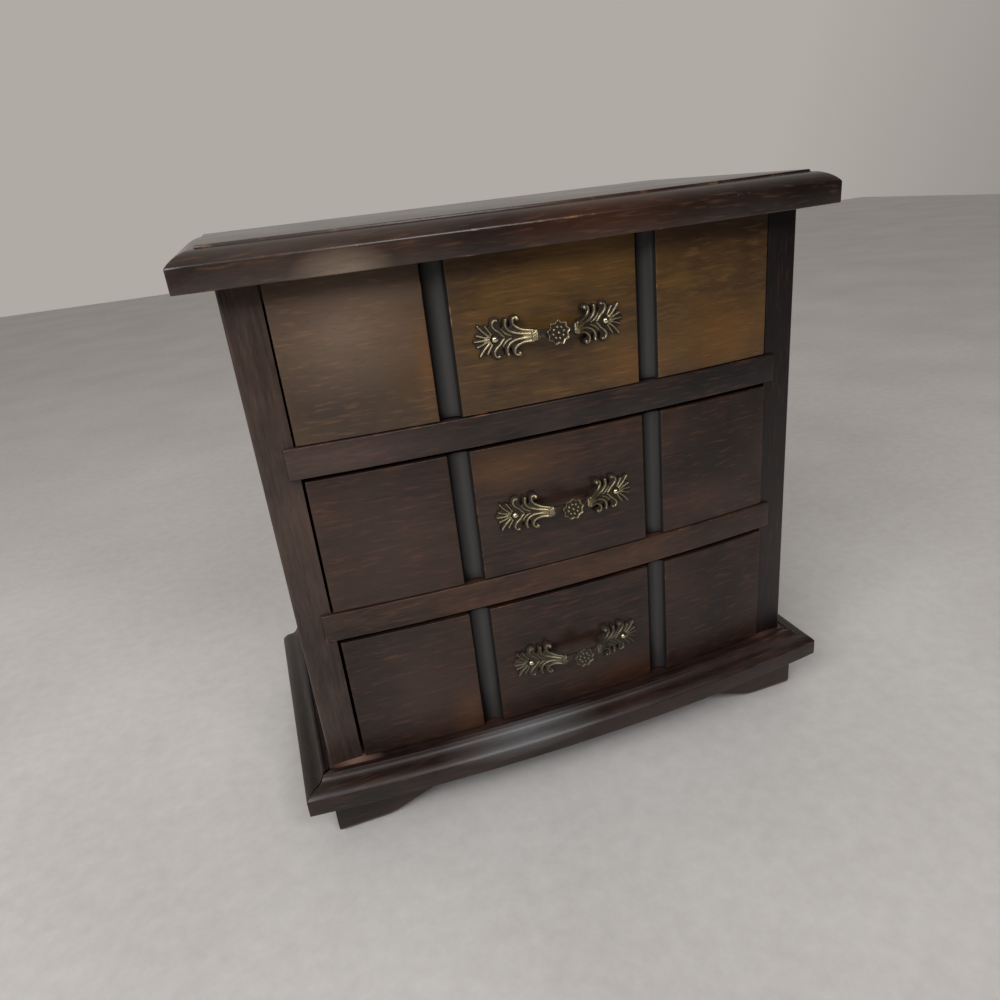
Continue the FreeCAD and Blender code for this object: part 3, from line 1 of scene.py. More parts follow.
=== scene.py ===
# Musical jewellery chest: a bow-fronted case of three drawers in dark stained wood, with cast pulls,
# a moulded top and plinth on bracket feet, and a wind-up movement behind the top drawer.
# Metres, +Z up, the front faces -Y. The sections follow the order in which the chest is put together.
import bpy
import math
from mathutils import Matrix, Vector


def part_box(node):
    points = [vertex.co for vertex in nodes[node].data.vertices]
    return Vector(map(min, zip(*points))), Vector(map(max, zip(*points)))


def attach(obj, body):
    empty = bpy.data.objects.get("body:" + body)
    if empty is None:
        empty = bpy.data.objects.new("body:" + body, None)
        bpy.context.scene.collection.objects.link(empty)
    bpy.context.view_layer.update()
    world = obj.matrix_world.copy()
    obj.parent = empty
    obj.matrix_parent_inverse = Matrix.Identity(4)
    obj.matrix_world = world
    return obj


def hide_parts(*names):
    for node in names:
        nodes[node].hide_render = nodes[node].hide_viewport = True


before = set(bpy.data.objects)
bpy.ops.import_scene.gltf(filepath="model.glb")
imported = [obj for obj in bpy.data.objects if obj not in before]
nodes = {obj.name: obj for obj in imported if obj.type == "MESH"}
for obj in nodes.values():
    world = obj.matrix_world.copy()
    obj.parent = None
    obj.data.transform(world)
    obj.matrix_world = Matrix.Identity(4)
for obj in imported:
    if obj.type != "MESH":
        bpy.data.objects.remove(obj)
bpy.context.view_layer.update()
scene = bpy.context.scene

# Base board: a flat board under the case, its front drawn to the same bow. The case stands on it and
# the plinth moulding is glued round its edge. Stained wood, seen as the ledge below the bottom drawer.


def linear(code):
    """An sRGB hex colour as the linear colour that a shader takes."""
    parts = [int(code[place:place + 2], 16) / 255 for place in (1, 3, 5)]
    return [part / 12.92 if part <= 0.04045 else ((part + 0.055) / 1.055) ** 2.4 for part in parts] + [1]


def add(material, kind, settings=None, links=None):
    """Adds a node, with the values of its settings, colour stops and sockets, and what feeds it: a
    socket, or a node for its first output."""
    node = material.node_tree.nodes.new(kind)
    for name, value in (settings or {}).items():
        if name == "stops":
            for element, (place, colour) in zip(node.color_ramp.elements, value):
                element.position = place
                element.color = colour if isinstance(colour, list) else [colour, colour, colour, 1]
        elif isinstance(name, int) or name in node.inputs:
            node.inputs[name].default_value = value
        else:
            setattr(node, name, value)
    for name, source in (links or {}).items():
        socket = source.outputs[0] if isinstance(source, bpy.types.Node) else source
        material.node_tree.links.new(socket, node.inputs[name])
    return node


def blank(name):
    """A material with nothing but its output."""
    material = bpy.data.materials.new(name)
    material.use_nodes = True
    material.node_tree.nodes.clear()
    return material


GRAIN_TURN = {"x": (0, 0, 0), "y": (0, 0, math.pi / 2), "z": (0, math.pi / 2, 0)}
# The widths of fibres, growth figure, flecks, pores, clouds of stain, rubbed places and smears, in
# millimetres, and how many times longer than wide the first four are.
FIBRE = 0.6
FIGURE = 3.2
FLECK = 1.3
PORE = 0.35
CLOUD = 38
RUBBED = 14
SMEAR = 30
STRETCH = 10
FIBRE_HEIGHT = 0.00006
PORE_DEPTH = 0.00005
LACQUER_IOR = 1.45
FLUTE_HALF = 0.005
FLUTE_HIGHLIGHT_SHIFT = 0.00125
FRONT = -0.065
FADE_BACK = 12


def stained_wood(name, grain, dark, light, rubbed, patches=(), cloud=0.5, gloss=0.36, flutes=(),
                 coat=0.06):
    """Close-grained wood under a nearly black walnut stain and a satin lacquer, sprayed on and since
    handled: it gives soft long streaks, cloudy stain, and bare reddish wood along the arrises.
    Patches of the front are (x, z, half width, half height, colour, strength), in millimetres and
    0 to 1: some cloudy stain, others painted highlights and painted shade. Flutes are the places along
    x of the two hollows, stained black with a painted highlight down the middle, a little right of it."""
    skin = blank(name)
    place = add(skin, "ShaderNodeTexCoord").outputs["Object"]
    turned = add(skin, "ShaderNodeMapping", {"Rotation": GRAIN_TURN[grain]}, {"Vector": place})
    along = add(skin, "ShaderNodeMapping", {"Scale": (1000 / STRETCH, 1000, 1000)}, {"Vector": turned})
    fibre = add(skin, "ShaderNodeTexNoise", {"Scale": 1 / FIBRE, "Detail": 3.0, "Roughness": 0.6},
                {"Vector": along})
    figure = add(skin, "ShaderNodeTexNoise", {"Scale": 1 / FIGURE, "Detail": 4.0, "Distortion": 0.8},
                 {"Vector": along})
    pore = add(skin, "ShaderNodeTexVoronoi", {"Scale": 1 / (3 * PORE)}, {"Vector": along})
    pores = add(skin, "ShaderNodeValToRGB", {"stops": [(0.06, 0.0), (0.2, 1.0)]}, {"Fac": pore})
    clouds = add(skin, "ShaderNodeTexNoise", {"Scale": 1000 / CLOUD, "Detail": 3.0, "Roughness": 0.55},
                 {"Vector": place})
    streaks = add(skin, "ShaderNodeMix", {"data_type": "FLOAT", 0: 0.45}, {2: figure, 3: fibre})
    shade = add(skin, "ShaderNodeMix", {"data_type": "FLOAT", 0: cloud}, {2: streaks, 3: clouds})
    streaky = add(skin, "ShaderNodeMapRange", {"From Min": 0.3, "From Max": 0.6, "To Min": 0.55},
                  {"Value": streaks})
    colour = add(skin, "ShaderNodeValToRGB", {"stops": [(0.39, linear(dark)), (0.61, linear(light))]},
                 {"Fac": shade})
    for x, z, wide, high, tone, strength in patches:
        off = add(skin, "ShaderNodeVectorMath",
                  {"operation": "SUBTRACT", 1: (x / 1000, FRONT, z / 1000)}, {0: place})
        flat = add(skin, "ShaderNodeVectorMath",
                   {"operation": "MULTIPLY", 1: (1000 / wide, FADE_BACK, 1000 / high)}, {0: off})
        far = add(skin, "ShaderNodeVectorMath", {"operation": "LENGTH"}, {0: flat})
        ragged = add(skin, "ShaderNodeMath", {"operation": "MULTIPLY_ADD", 1: 0.9},
                     {0: shade, 2: far.outputs["Value"]})
        much = add(skin, "ShaderNodeMapRange",
                   {"From Min": 0.55, "From Max": 1.35, "To Min": strength, "To Max": 0},
                   {"Value": ragged})
        laid = add(skin, "ShaderNodeMath", {"operation": "MULTIPLY"}, {0: much, 1: streaky})
        colour = add(skin, "ShaderNodeMix", {"data_type": "RGBA", 7: linear(tone)},
                     {0: laid, 6: colour}).outputs[2]
    colour = add(skin, "ShaderNodeMix", {"data_type": "RGBA", "blend_type": "MULTIPLY", 0: 0.3},
                 {6: colour, 7: pores}).outputs[2]
    fleck = add(skin, "ShaderNodeTexNoise", {"Scale": 1 / FLECK, "Detail": 2.0}, {"Vector": along})
    pale = add(skin, "ShaderNodeMapRange", {"From Min": 0.56, "From Max": 0.72, "To Max": 0.16},
               {"Value": fleck})
    colour = add(skin, "ShaderNodeMix", {"data_type": "RGBA", 7: linear(rubbed)},
                 {0: pale, 6: colour}).outputs[2]
    for spot in flutes:
        across = add(skin, "ShaderNodeSeparateXYZ", {}, {"Vector": place})
        inside = add(skin, "ShaderNodeMath", {"operation": "COMPARE", 1: spot, 2: FLUTE_HALF}, {0: across})
        # A painted highlight down each flute, a little right of its middle, grading to the black stain at its
        # edges.
        aside = add(skin, "ShaderNodeMath", {"operation": "SUBTRACT", 1: spot + FLUTE_HIGHLIGHT_SHIFT}, {0: across})
        far = add(skin, "ShaderNodeMath", {"operation": "ABSOLUTE"}, {0: aside})
        share = add(skin, "ShaderNodeMath", {"operation": "DIVIDE", 1: FLUTE_HALF}, {0: far})
        flute_stain_and_highlight = add(skin, "ShaderNodeValToRGB",
                    {"stops": [(0.1, linear("#363434")), (0.85, linear("#0c0a0a"))]}, {"Fac": share})
        colour = add(skin, "ShaderNodeMix", {"data_type": "RGBA"},
                     {0: inside, 6: colour, 7: flute_stain_and_highlight}).outputs[2]
    worn = add(skin, "ShaderNodeAttribute", {"attribute_name": "worn"}).outputs["Fac"]
    patchy = add(skin, "ShaderNodeTexNoise", {"Scale": 1000 / RUBBED, "Detail": 5.0, "Roughness": 0.7},
                 {"Vector": place})
    bare = add(skin, "ShaderNodeMapRange", {"From Min": 0.58, "From Max": 0.7, "To Max": 0.8},
               {"Value": patchy})
    rub = add(skin, "ShaderNodeMath", {"operation": "MULTIPLY"}, {0: worn, 1: bare})
    colour = add(skin, "ShaderNodeMix", {"data_type": "RGBA", 7: linear(rubbed)},
                 {0: rub, 6: colour}).outputs[2]
    smear = add(skin, "ShaderNodeTexNoise", {"Scale": 1000 / SMEAR, "Detail": 2.0}, {"Vector": place})
    rough = add(skin, "ShaderNodeMapRange", {"To Min": gloss - 0.07, "To Max": gloss + 0.12},
                {"Value": smear})
    relief = add(skin, "ShaderNodeBump", {"Strength": 0.25, "Distance": FIBRE_HEIGHT}, {"Height": fibre})
    dents = add(skin, "ShaderNodeBump", {"Strength": 0.2, "Distance": PORE_DEPTH},
                {"Height": pores, "Normal": relief})
    shader = add(skin, "ShaderNodeBsdfPrincipled",
                 {"IOR": LACQUER_IOR, "Coat Weight": coat, "Coat Roughness": 0.2},
                 {"Base Color": colour, "Roughness": rough, "Normal": dents})
    add(skin, "ShaderNodeOutputMaterial", {}, {"Surface": shader})
    return skin


def wear(piece, material, body=None, stands_for=None):
    """Gives a piece its one material and, if it isn't a CAD node, hangs it on the body that it rides on
    and hides the node that it stands for."""
    piece.data.materials.clear()
    piece.data.materials.append(material)
    if body:
        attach(piece, body)
        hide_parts(stands_for)


# Nearly black walnut stain on the case and the sides. It takes light only as a soft sheen. The left post is
# painted lighter and greyer as painted light, the right post darker, nearly black, as painted shade, and the
# ledge is painted paler at its two ends.
case_across = stained_wood("stained_wood_across", "x", "#170f0d", "#33231e", "#7a4d36")
# Darker than the stain across the case, as painted shade, for the sides of the plinth.
case_deep_shaded = stained_wood("stained_wood_deep_painted_shade", "y", "#0c0807", "#241815", "#7a4d36")
lit_left_post = stained_wood("stained_wood_left_post_painted_light", "z", "#2a201c", "#4d3c34", "#7a5a48")
shaded_right_post = stained_wood("stained_wood_right_post_painted_shade", "z", "#070404", "#170f0e", "#6e4636",
                          [(120, 90, 30, 60, "#2c2120", 0.8)])
ledge_wood = stained_wood("ledge_wood", "x", "#170f0d", "#33231e", "#7a4d36",
                          [(-113, 38, 14, 20, "#8f7064", 0.9), (113, 38, 12, 20, "#5c463c", 0.8)])
wear(nodes["base_board"], ledge_wood)

# Plinth: three lengths of moulding with an upright face, a rounded shoulder, a hollow and a thin
# ridge, worked on the spindle, mitred at the front corners and glued round the base board.


def mode(name):
    """Goes into EDIT or OBJECT mode."""
    bpy.ops.object.mode_set(mode=name)


def put_down():
    """Leaves edit mode, with nothing selected."""
    if bpy.context.object and bpy.context.object.mode != "OBJECT":
        mode("OBJECT")
    for piece in bpy.context.selected_objects:
        piece.select_set(False)


def alone(piece):
    """Makes this piece the only one selected."""
    put_down()
    piece.select_set(True)
    bpy.context.view_layer.objects.active = piece


def pick(piece, kind, test):
    """Goes into edit mode with what the test accepts selected, of what isn't hidden."""
    alone(piece)
    mode("EDIT")
    bpy.ops.mesh.select_mode(type=kind)
    bpy.ops.mesh.select_all(action="DESELECT")
    mode("OBJECT")
    mesh = piece.data
    points = [vertex.co for vertex in mesh.vertices]
    if kind == "VERT":
        for vertex in mesh.vertices:
            vertex.select = not vertex.hide and test(vertex.co)
    elif kind == "EDGE":
        for edge in mesh.edges:
            edge.select = not edge.hide and test(*(points[corner] for corner in edge.vertices))
    else:
        for face in mesh.polygons:
            face.select = not face.hide and test(face.center, face.normal)
    mode("EDIT")


def everything():
    """Selects all of the piece that is being edited."""
    bpy.ops.mesh.select_all(action="SELECT")


def face_outward():
    """Turns every face of the piece that is being edited outward."""
    everything()
    bpy.ops.mesh.normals_make_consistent(inside=False)


def pull_out(move):
    """Extrudes what is selected along a move."""
    bpy.ops.mesh.extrude_region_move(TRANSFORM_OT_translate={"value": move})


def profile(name, start, steps):
    """An outline drawn from one point, each corner pulled out of the last, and then filled."""
    put_down()
    bpy.ops.mesh.primitive_plane_add(size=0.001, location=(0, 0, 0))
    piece = bpy.context.object
    piece.name = name
    mode("EDIT")
    bpy.ops.mesh.select_mode(type="VERT")
    everything()
    bpy.ops.mesh.merge(type="CENTER")
    bpy.ops.transform.translate(value=start)
    here = Vector(start)
    for step in steps:
        bpy.ops.mesh.extrude_vertices_move(TRANSFORM_OT_translate={"value": Vector(step) - here})
        here = Vector(step)
    everything()
    bpy.ops.mesh.edge_face_add()
    return piece


NEAR = 0.00005
NARROW = 0.0001
ROUND_STEPS = 4
SMOOTH_UNDER = math.radians(28)


def bow(piece, rise, half, front):
    """Draws the middle of the front forward in one even curve that ends at half each side."""
    pick(piece, "VERT", lambda spot: not front(spot))
    bpy.ops.mesh.hide(unselected=False)
    pick(piece, "VERT", lambda spot: abs(spot.x) < NEAR)
    bpy.ops.transform.translate(value=(0, -rise, 0), use_proportional_edit=True,
                                proportional_edit_falloff="INVERSE_SQUARE", proportional_size=half)
    bpy.ops.mesh.reveal(select=False)


def soften(piece, width, sharp=35):
    """Rounds the sharp arrises as sanding does, and marks these strips, each face of them smaller than
    NARROW square metres, as the places that rub bare."""
    alone(piece)
    mode("EDIT")
    bpy.ops.mesh.reveal(select=False)
    bpy.ops.mesh.select_mode(type="EDGE")
    bpy.ops.mesh.select_all(action="DESELECT")
    bpy.ops.mesh.edges_select_sharp(sharpness=math.radians(sharp))
    bpy.ops.mesh.bevel(offset=width, segments=ROUND_STEPS, profile=0.5, affect="EDGES",
                       clamp_overlap=True)
    mode("OBJECT")
    mesh = piece.data
    plain = set()
    touched = set()
    for face in mesh.polygons:
        (touched if face.select and face.area < NARROW else plain).update(face.vertices)
    worn = mesh.attributes.new("worn", "FLOAT", "POINT")
    for index in touched - plain:
        worn.data[index].value = 1.0
    bpy.ops.object.shade_smooth_by_angle(angle=SMOOTH_UNDER)


CURVE_CUTS = 47
LONG = 0.2
low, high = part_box("plinth_front")
SIDE = high[0]
PLINTH_RISE = 0.0091
PLINTH_WIDTH = 0.013
PLINTH_FACE = 0.0082
RIDGE_IN = 0.0094
RIDGE_WIDTH = 0.0016
RIDGE_DROP = 0.0005
SHOULDER_IN = 0.0056
SHOULDER_HEIGHT = 0.0108
SHOULDER_SWELL = (0.0013, 0.0033)
HOLLOW_DIP = (0.0019, 0.0026)
PLINTH_ROUND = 0.0004


def moulding(bottom, top):
    """The section of the moulding as (inward, up) from the foot of its face."""
    height = top - bottom
    points = [(0, 0), (0, PLINTH_FACE)]
    for part in (0.16, 0.33, 0.5, 0.67, 0.84, 1):
        swell = part * (1 - part)
        points.append((SHOULDER_IN * part - SHOULDER_SWELL[0] * swell,
                       PLINTH_FACE + (SHOULDER_HEIGHT - PLINTH_FACE) * part + SHOULDER_SWELL[1] * swell))
    for part in (0.2, 0.4, 0.6, 0.8, 1):
        dip = part * (1 - part)
        points.append((SHOULDER_IN + (RIDGE_IN - SHOULDER_IN) * part + HOLLOW_DIP[0] * dip,
                       SHOULDER_HEIGHT + (height - SHOULDER_HEIGHT) * part - HOLLOW_DIP[1] * dip))
    points += [(RIDGE_IN + RIDGE_WIDTH, height), (RIDGE_IN + RIDGE_WIDTH, height - RIDGE_DROP)]
    points += [(PLINTH_WIDTH, height - RIDGE_DROP), (PLINTH_WIDTH, 0)]
    return points


bottom, top = low[2], high[2]
ends = low[1] + PLINTH_RISE
section = [(-SIDE, ends + inward, bottom + up) for inward, up in moulding(bottom, top)]
plinth_front = profile("plinth_front_moulding", section[0], section[1:])
pull_out((2 * SIDE, 0, 0))
for hand in (1, -1):
    everything()
    bpy.ops.mesh.bisect(plane_co=(hand * SIDE, ends, 0), plane_no=(hand, 1, 0), clear_inner=False,
                        clear_outer=True, use_fill=True)
pick(plinth_front, "EDGE", lambda start, end: abs(start.x - end.x) > LONG)
bpy.ops.mesh.subdivide(number_cuts=CURVE_CUTS)
bow(plinth_front, PLINTH_RISE, SIDE, lambda spot: True)
soften(plinth_front, PLINTH_ROUND)
# The same stain, with a painted highlight left of the middle, where the moulding looks silvery.
curve_middle = 1000 * (top + bottom + PLINTH_FACE) / 2
plinth_wood_painted_highlight = stained_wood("stained_wood_plinth_painted_highlight", "x", "#170f0d", "#33231e", "#7a4d36",
                           [(-34, curve_middle, 46, 9, "#6c6e70", 0.85)])
wear(plinth_front, plinth_wood_painted_highlight, "case", "plinth_front")

for node, hand in (("plinth_left", -1), ("plinth_right", 1)):
    low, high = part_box(node)
    outside = hand * SIDE
    section = [(outside - hand * inward, high[1], bottom + up) for inward, up in moulding(bottom, top)]
    side_length = profile(f"{node}_moulding", section[0], section[1:])
    pull_out((0, ends - high[1], 0))
    face_outward()
    bpy.ops.mesh.bisect(plane_co=(outside, ends, 0), plane_no=(hand, 1, 0), clear_inner=True,
                        clear_outer=False, use_fill=True)
    soften(side_length, PLINTH_ROUND)
    wear(side_length, case_deep_shaded, "case", node)

# Bracket feet: each a front or back bracket and a side bracket in one, fretted to a flat pad and a
# rising scroll, and glued under the base board. Stained like the case, the toe rubbed on the floor.


WELD = 0.000002
FLAT = math.radians(0.6)
FOOT_ROUND = 0.0014


def worked(name, node, width, corner=None, radius=0):
    """A merged copy of a CAD node's shape with its flat faces whole again, the corners that a test
    picks cut round, and then all its arrises rounded."""
    put_down()
    piece = bpy.data.objects.new(name, nodes[node].data.copy())
    scene.collection.objects.link(piece)
    alone(piece)
    mode("EDIT")
    everything()
    bpy.ops.mesh.remove_doubles(threshold=WELD)
    bpy.ops.mesh.dissolve_limited(angle_limit=FLAT)
    if corner:
        pick(piece, "EDGE", corner)
        bpy.ops.mesh.bevel(offset=radius, segments=ROUND_STEPS + 1, affect="EDGES", clamp_overlap=False)
    soften(piece, width)
    return piece


for depth in ("front", "back"):
    for hand in ("left", "right"):
        foot = worked(f"{depth}_{hand}_bracket_foot", f"{depth}_{hand}_foot", FOOT_ROUND)
        wear(foot, case_across, "case", f"{depth}_{hand}_foot")

# Side panels, back panel and dividers: upright boards whose front edges show beside the drawers, a
# thin fibreboard back let into their rebates, and the boards that the upper drawers slide on.
SIDE_ROUND = 0.0007
for hand, side_wood in (("left", lit_left_post), ("right", shaded_right_post)):
    side_panel = worked(f"{hand}_side_board", f"{hand}_side_panel", SIDE_ROUND)
    wear(side_panel, side_wood, "case", f"{hand}_side_panel")

# Pressed fibreboard, brown and even with hardly any sheen, and bare whitewood sanded smooth, pale and
# open-grained: both look dry beside the stained case.
fibreboard = stained_wood("brown_fibreboard", "x", "#62492f", "#755539", "#8f6f50", cloud=0.3, gloss=0.6)
plain_wood = stained_wood("sanded_whitewood", "x", "#a98459", "#d0ab7c", "#dcbf95", cloud=0.35, gloss=0.6)
plain_wood_deep = stained_wood("sanded_whitewood_deep", "y", "#a98459", "#d0ab7c", "#dcbf95",
                               cloud=0.35, gloss=0.6)
wear(nodes["back_panel"], fibreboard)
for node in ("lower_divider", "upper_divider"):
    wear(nodes[node], plain_wood)
for node in ("top_cleat_left", "top_cleat_right"):
    wear(nodes[node], plain_wood_deep)


HANDLED = 15
SCRATCH_DEPTH = 0.00003


def plain_metal(name, colour, rough, grit, bite=0.3):
    """Bare metal with fine scratches grit millimetres apart and the slight smears of handling: its
    shine breaks up a little, and it is duller in soft patches."""
    skin = blank(name)
    place = add(skin, "ShaderNodeTexCoord").outputs["Object"]
    scratch = add(skin, "ShaderNodeTexNoise", {"Scale": 1000 / grit, "Detail": 4.0, "Roughness": 0.7},
                  {"Vector": place})
    smear = add(skin, "ShaderNodeTexNoise", {"Scale": 1000 / HANDLED, "Detail": 2.0}, {"Vector": place})
    dull = [part * 0.85 for part in linear(colour)[:3]] + [1]
    tone = add(skin, "ShaderNodeValToRGB", {"stops": [(0.3, dull), (0.65, linear(colour))]},
               {"Fac": smear})
    spread = add(skin, "ShaderNodeMapRange", {"To Min": rough - 0.08, "To Max": rough + 0.14},
                 {"Value": scratch})
    relief = add(skin, "ShaderNodeBump", {"Strength": bite, "Distance": SCRATCH_DEPTH},
                 {"Height": scratch})
    shader = add(skin, "ShaderNodeBsdfPrincipled", {"Metallic": 1.0},
                 {"Base Color": tone, "Roughness": spread, "Normal": relief})
    add(skin, "ShaderNodeOutputMaterial", {}, {"Surface": shader})
    return skin


# Bright drawn steel and turned brass: they catch the light in small sharp glints.
steel = plain_metal("bright_steel", "#b9b7b2", 0.32, 0.4)
brass = plain_metal("turned_brass", "#d9b366", 0.28, 0.5)
for node in ("base_screws", "cleat_screws", "back_panel_brads"):
    wear(nodes[node], steel)

# Rails: bowed strips between the drawers, their ends lapped over the front edges of the side panels.
# Solid wood, sawn to the bow and glued in. The lower one is browner, the upper one nearly black.


def block(name, low, high):
    """A squared-up blank between two corners, its place kept in its mesh."""
    put_down()
    bpy.ops.mesh.primitive_cube_add(size=1, location=(Vector(low) + Vector(high)) / 2)
    piece = bpy.context.object
    piece.name = name
    piece.scale = Vector(high) - Vector(low)
    bpy.ops.object.transform_apply()
    return piece


INSIDE = 0.110
CASE_FRONT = -0.0611
RAIL_RISE = 0.0059
RAIL_ROUND = 0.0006
# The same stain, thinner on the lower rail so that brown shows through. Each rail is painted darker at its
# right as painted shade, the upper one black there, and the upper one greyer at its left as painted light.
rail_woods = {
    "lower": stained_wood("rail_wood_brown_painted_shade", "x", "#1c120e", "#4a3225", "#93593a",
                          [(20, 108, 60, 14, "#563823", 0.5), (95, 108, 50, 14, "#1d1413", 0.7)]),
    "upper": stained_wood("rail_wood_black_painted_light_and_shade", "x", "#140f0d", "#332824", "#8a4e38",
                          [(-95, 185, 55, 14, "#503e38", 0.9), (85, 185, 110, 14, "#040405", 0.95)]),
}
for level in ("lower", "upper"):
    low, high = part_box(f"{level}_rail")
    lap = high[0] - INSIDE
    end_front = low[1] + RAIL_RISE
    rail = block(f"{level}_rail_strip", (-INSIDE, end_front, low[2]), (INSIDE, high[1], high[2]))
    pick(rail, "FACE", lambda centre, normal: True)
    bpy.ops.mesh.bisect(plane_co=(0, CASE_FRONT, 0), plane_no=(0, 1, 0))
    for hand in (1, -1):
        pick(rail, "FACE", lambda centre, normal: normal.x * hand > 0.9 and centre.y < CASE_FRONT)
        pull_out((hand * lap, 0, 0))
    pick(rail, "EDGE", lambda start, end: abs(start.x - end.x) > LONG)
    bpy.ops.mesh.subdivide(number_cuts=CURVE_CUTS)
    bow(rail, RAIL_RISE, high[0], lambda spot: spot.y < end_front + NEAR)
    soften(rail, RAIL_ROUND)
    wear(rail, rail_woods[level], "case", f"{level}_rail")

# Top board: one bowed board with an upright face, a rounded slope and a small step up to the flat,
# cut along the front and the sides. Polished more than the rest and rubbed bare along its arrises.

# Polished lacquer over the stain: it shines along the slope, has a pale painted highlight left of the middle
# of its front, and goes from greyish brown at the left end, as painted light, over red-brown to black at the
# right, as painted shade.
top_wood = stained_wood("polished_top_wood", "x", "#120b09", "#382821", "#8f6244",
                        [(-100, 262, 60, 30, "#453831", 0.7), (-80, 257, 22, 10, "#95826f", 0.65),
                         (20, 262, 60, 30, "#40210f", 0.8), (115, 262, 60, 30, "#120c0b", 0.9)],
                        gloss=0.27, coat=0.3)
TOP_RISE = 0.007
TOP_FACE = 0.009
TOP_STEP = 0.001
SLOPE_FRONT = 0.0075
SLOPE_SIDE = 0.011
SLOPE_SWELL = 0.0013
SLOPE_STEPS = 6
TOP_ROUND = 0.0011
TOP_SHARP = 30
UPWARD = 0.99
low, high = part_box("top_board")
front_end = low[1] + TOP_RISE
face_top = low[2] + TOP_FACE
slope_height = high[2] - TOP_STEP - face_top
top_board = block("top_board_moulded", (low[0], front_end, low[2]), (high[0], high[1], face_top))
pick(top_board, "EDGE", lambda start, end: abs(start.x - end.x) > LONG and start.y < 0)
bpy.ops.mesh.subdivide(number_cuts=CURVE_CUTS)
bow(top_board, TOP_RISE, high[0], lambda spot: spot.y < 0)
half = high[0]
inset = 0
level = face_top
for step in range(1, SLOPE_STEPS + 1):
    part = step / SLOPE_STEPS
    swell = 4 * SLOPE_SWELL * part * (1 - part)
    new_inset = part - swell * 0.5 / SLOPE_SIDE
    new_level = face_top + slope_height * part + swell * 0.8
    pick(top_board, "FACE", lambda centre, normal: normal.z > UPWARD and centre.z > level - NEAR)
    pull_out((0, 0, new_level - level))
    narrow = (half - SLOPE_SIDE * new_inset) / (half - SLOPE_SIDE * inset)
    bpy.ops.transform.resize(value=(narrow, 1, 1), center_override=(0, 0, 0))
    pick(top_board, "VERT", lambda spot: spot.y < 0 and spot.z > new_level - NEAR)
    bpy.ops.transform.translate(value=(0, SLOPE_FRONT * (new_inset - inset), 0))
    inset = new_inset
    level = new_level
pick(top_board, "FACE", lambda centre, normal: normal.z > UPWARD and centre.z > level - NEAR)
pull_out((0, 0, TOP_STEP))
soften(top_board, TOP_ROUND, TOP_SHARP)
wear(top_board, top_wood, "case", "top_board")

# Drawer fronts: bowed blanks with two hollow flutes cut from top to bottom, stained brown over the
# flats and nearly black in the flutes. Glued to the front ends of the drawer sides.
DRAWER_RISE = 0.0057
FLUTE_PLACE = 0.0457
FLUTE_DEPTH = 0.0033
FLAT_CUTS = 23
FLUTE_CUTS = 15
FRONT_ROUND = 0.0004
# How far each front stands to the right of the middle, and what is planed off its left end.
shifts = {"top": -0.0004, "middle": 0.0004, "bottom": 0.0006}
trims = {"top": 0.0005, "middle": 0, "bottom": 0}
# Walnut stain under satin lacquer, thin and golden on the top front, so that its grain glows, darker
# on the middle one and red-brown on the bottom one, each with cloudy places of its own. The middle and
# bottom fronts are painted greyer at the left as painted sheen and darker at the right as painted shade;
# the top front has painted sheen over its left panel with a painted highlight in it, and is darker along
# the top of its right panel.
front_woods = {
    "top": stained_wood("front_wood_golden", "x", "#352413", "#5c421d", "#a87850",
                        [(-84, 222, 66, 150, "#3c312b", 0.95), (-80, 233, 46, 32, "#7a6555", 0.75),
                         (-53, 216, 7, 30, "#6e4722", 0.7), (15, 244, 50, 12, "#5f4117", 0.7),
                         (40, 202, 22, 14, "#754816", 0.6), (86, 205, 40, 26, "#6f470f", 0.7),
                         (66, 248, 40, 20, "#351d09", 0.8), (100, 250, 26, 12, "#281808", 0.8)],
                        flutes=(-0.0461, 0.0453)),
    "middle": stained_wood("front_wood_dark", "x", "#1d1310", "#3f2b21", "#8a5034",
                           [(-24, 166, 30, 14, "#624426", 0.7), (84, 150, 44, 56, "#100908", 0.95),
                            (72, 128, 30, 14, "#4a2c20", 0.6), (-80, 140, 34, 60, "#3d2e28", 0.8)],
                           flutes=(-0.0453, 0.0461)),
    "bottom": stained_wood("front_wood_brown", "x", "#1a110e", "#39261d", "#8a5034",
                           [(-56, 48, 14, 26, "#5c3c26", 0.6), (28, 45, 30, 12, "#43230f", 0.7),
                            (82, 66, 40, 60, "#170f0e", 0.9), (-78, 66, 30, 60, "#3d2e28", 0.6)],
                           flutes=(-0.0451, 0.0463)),
}
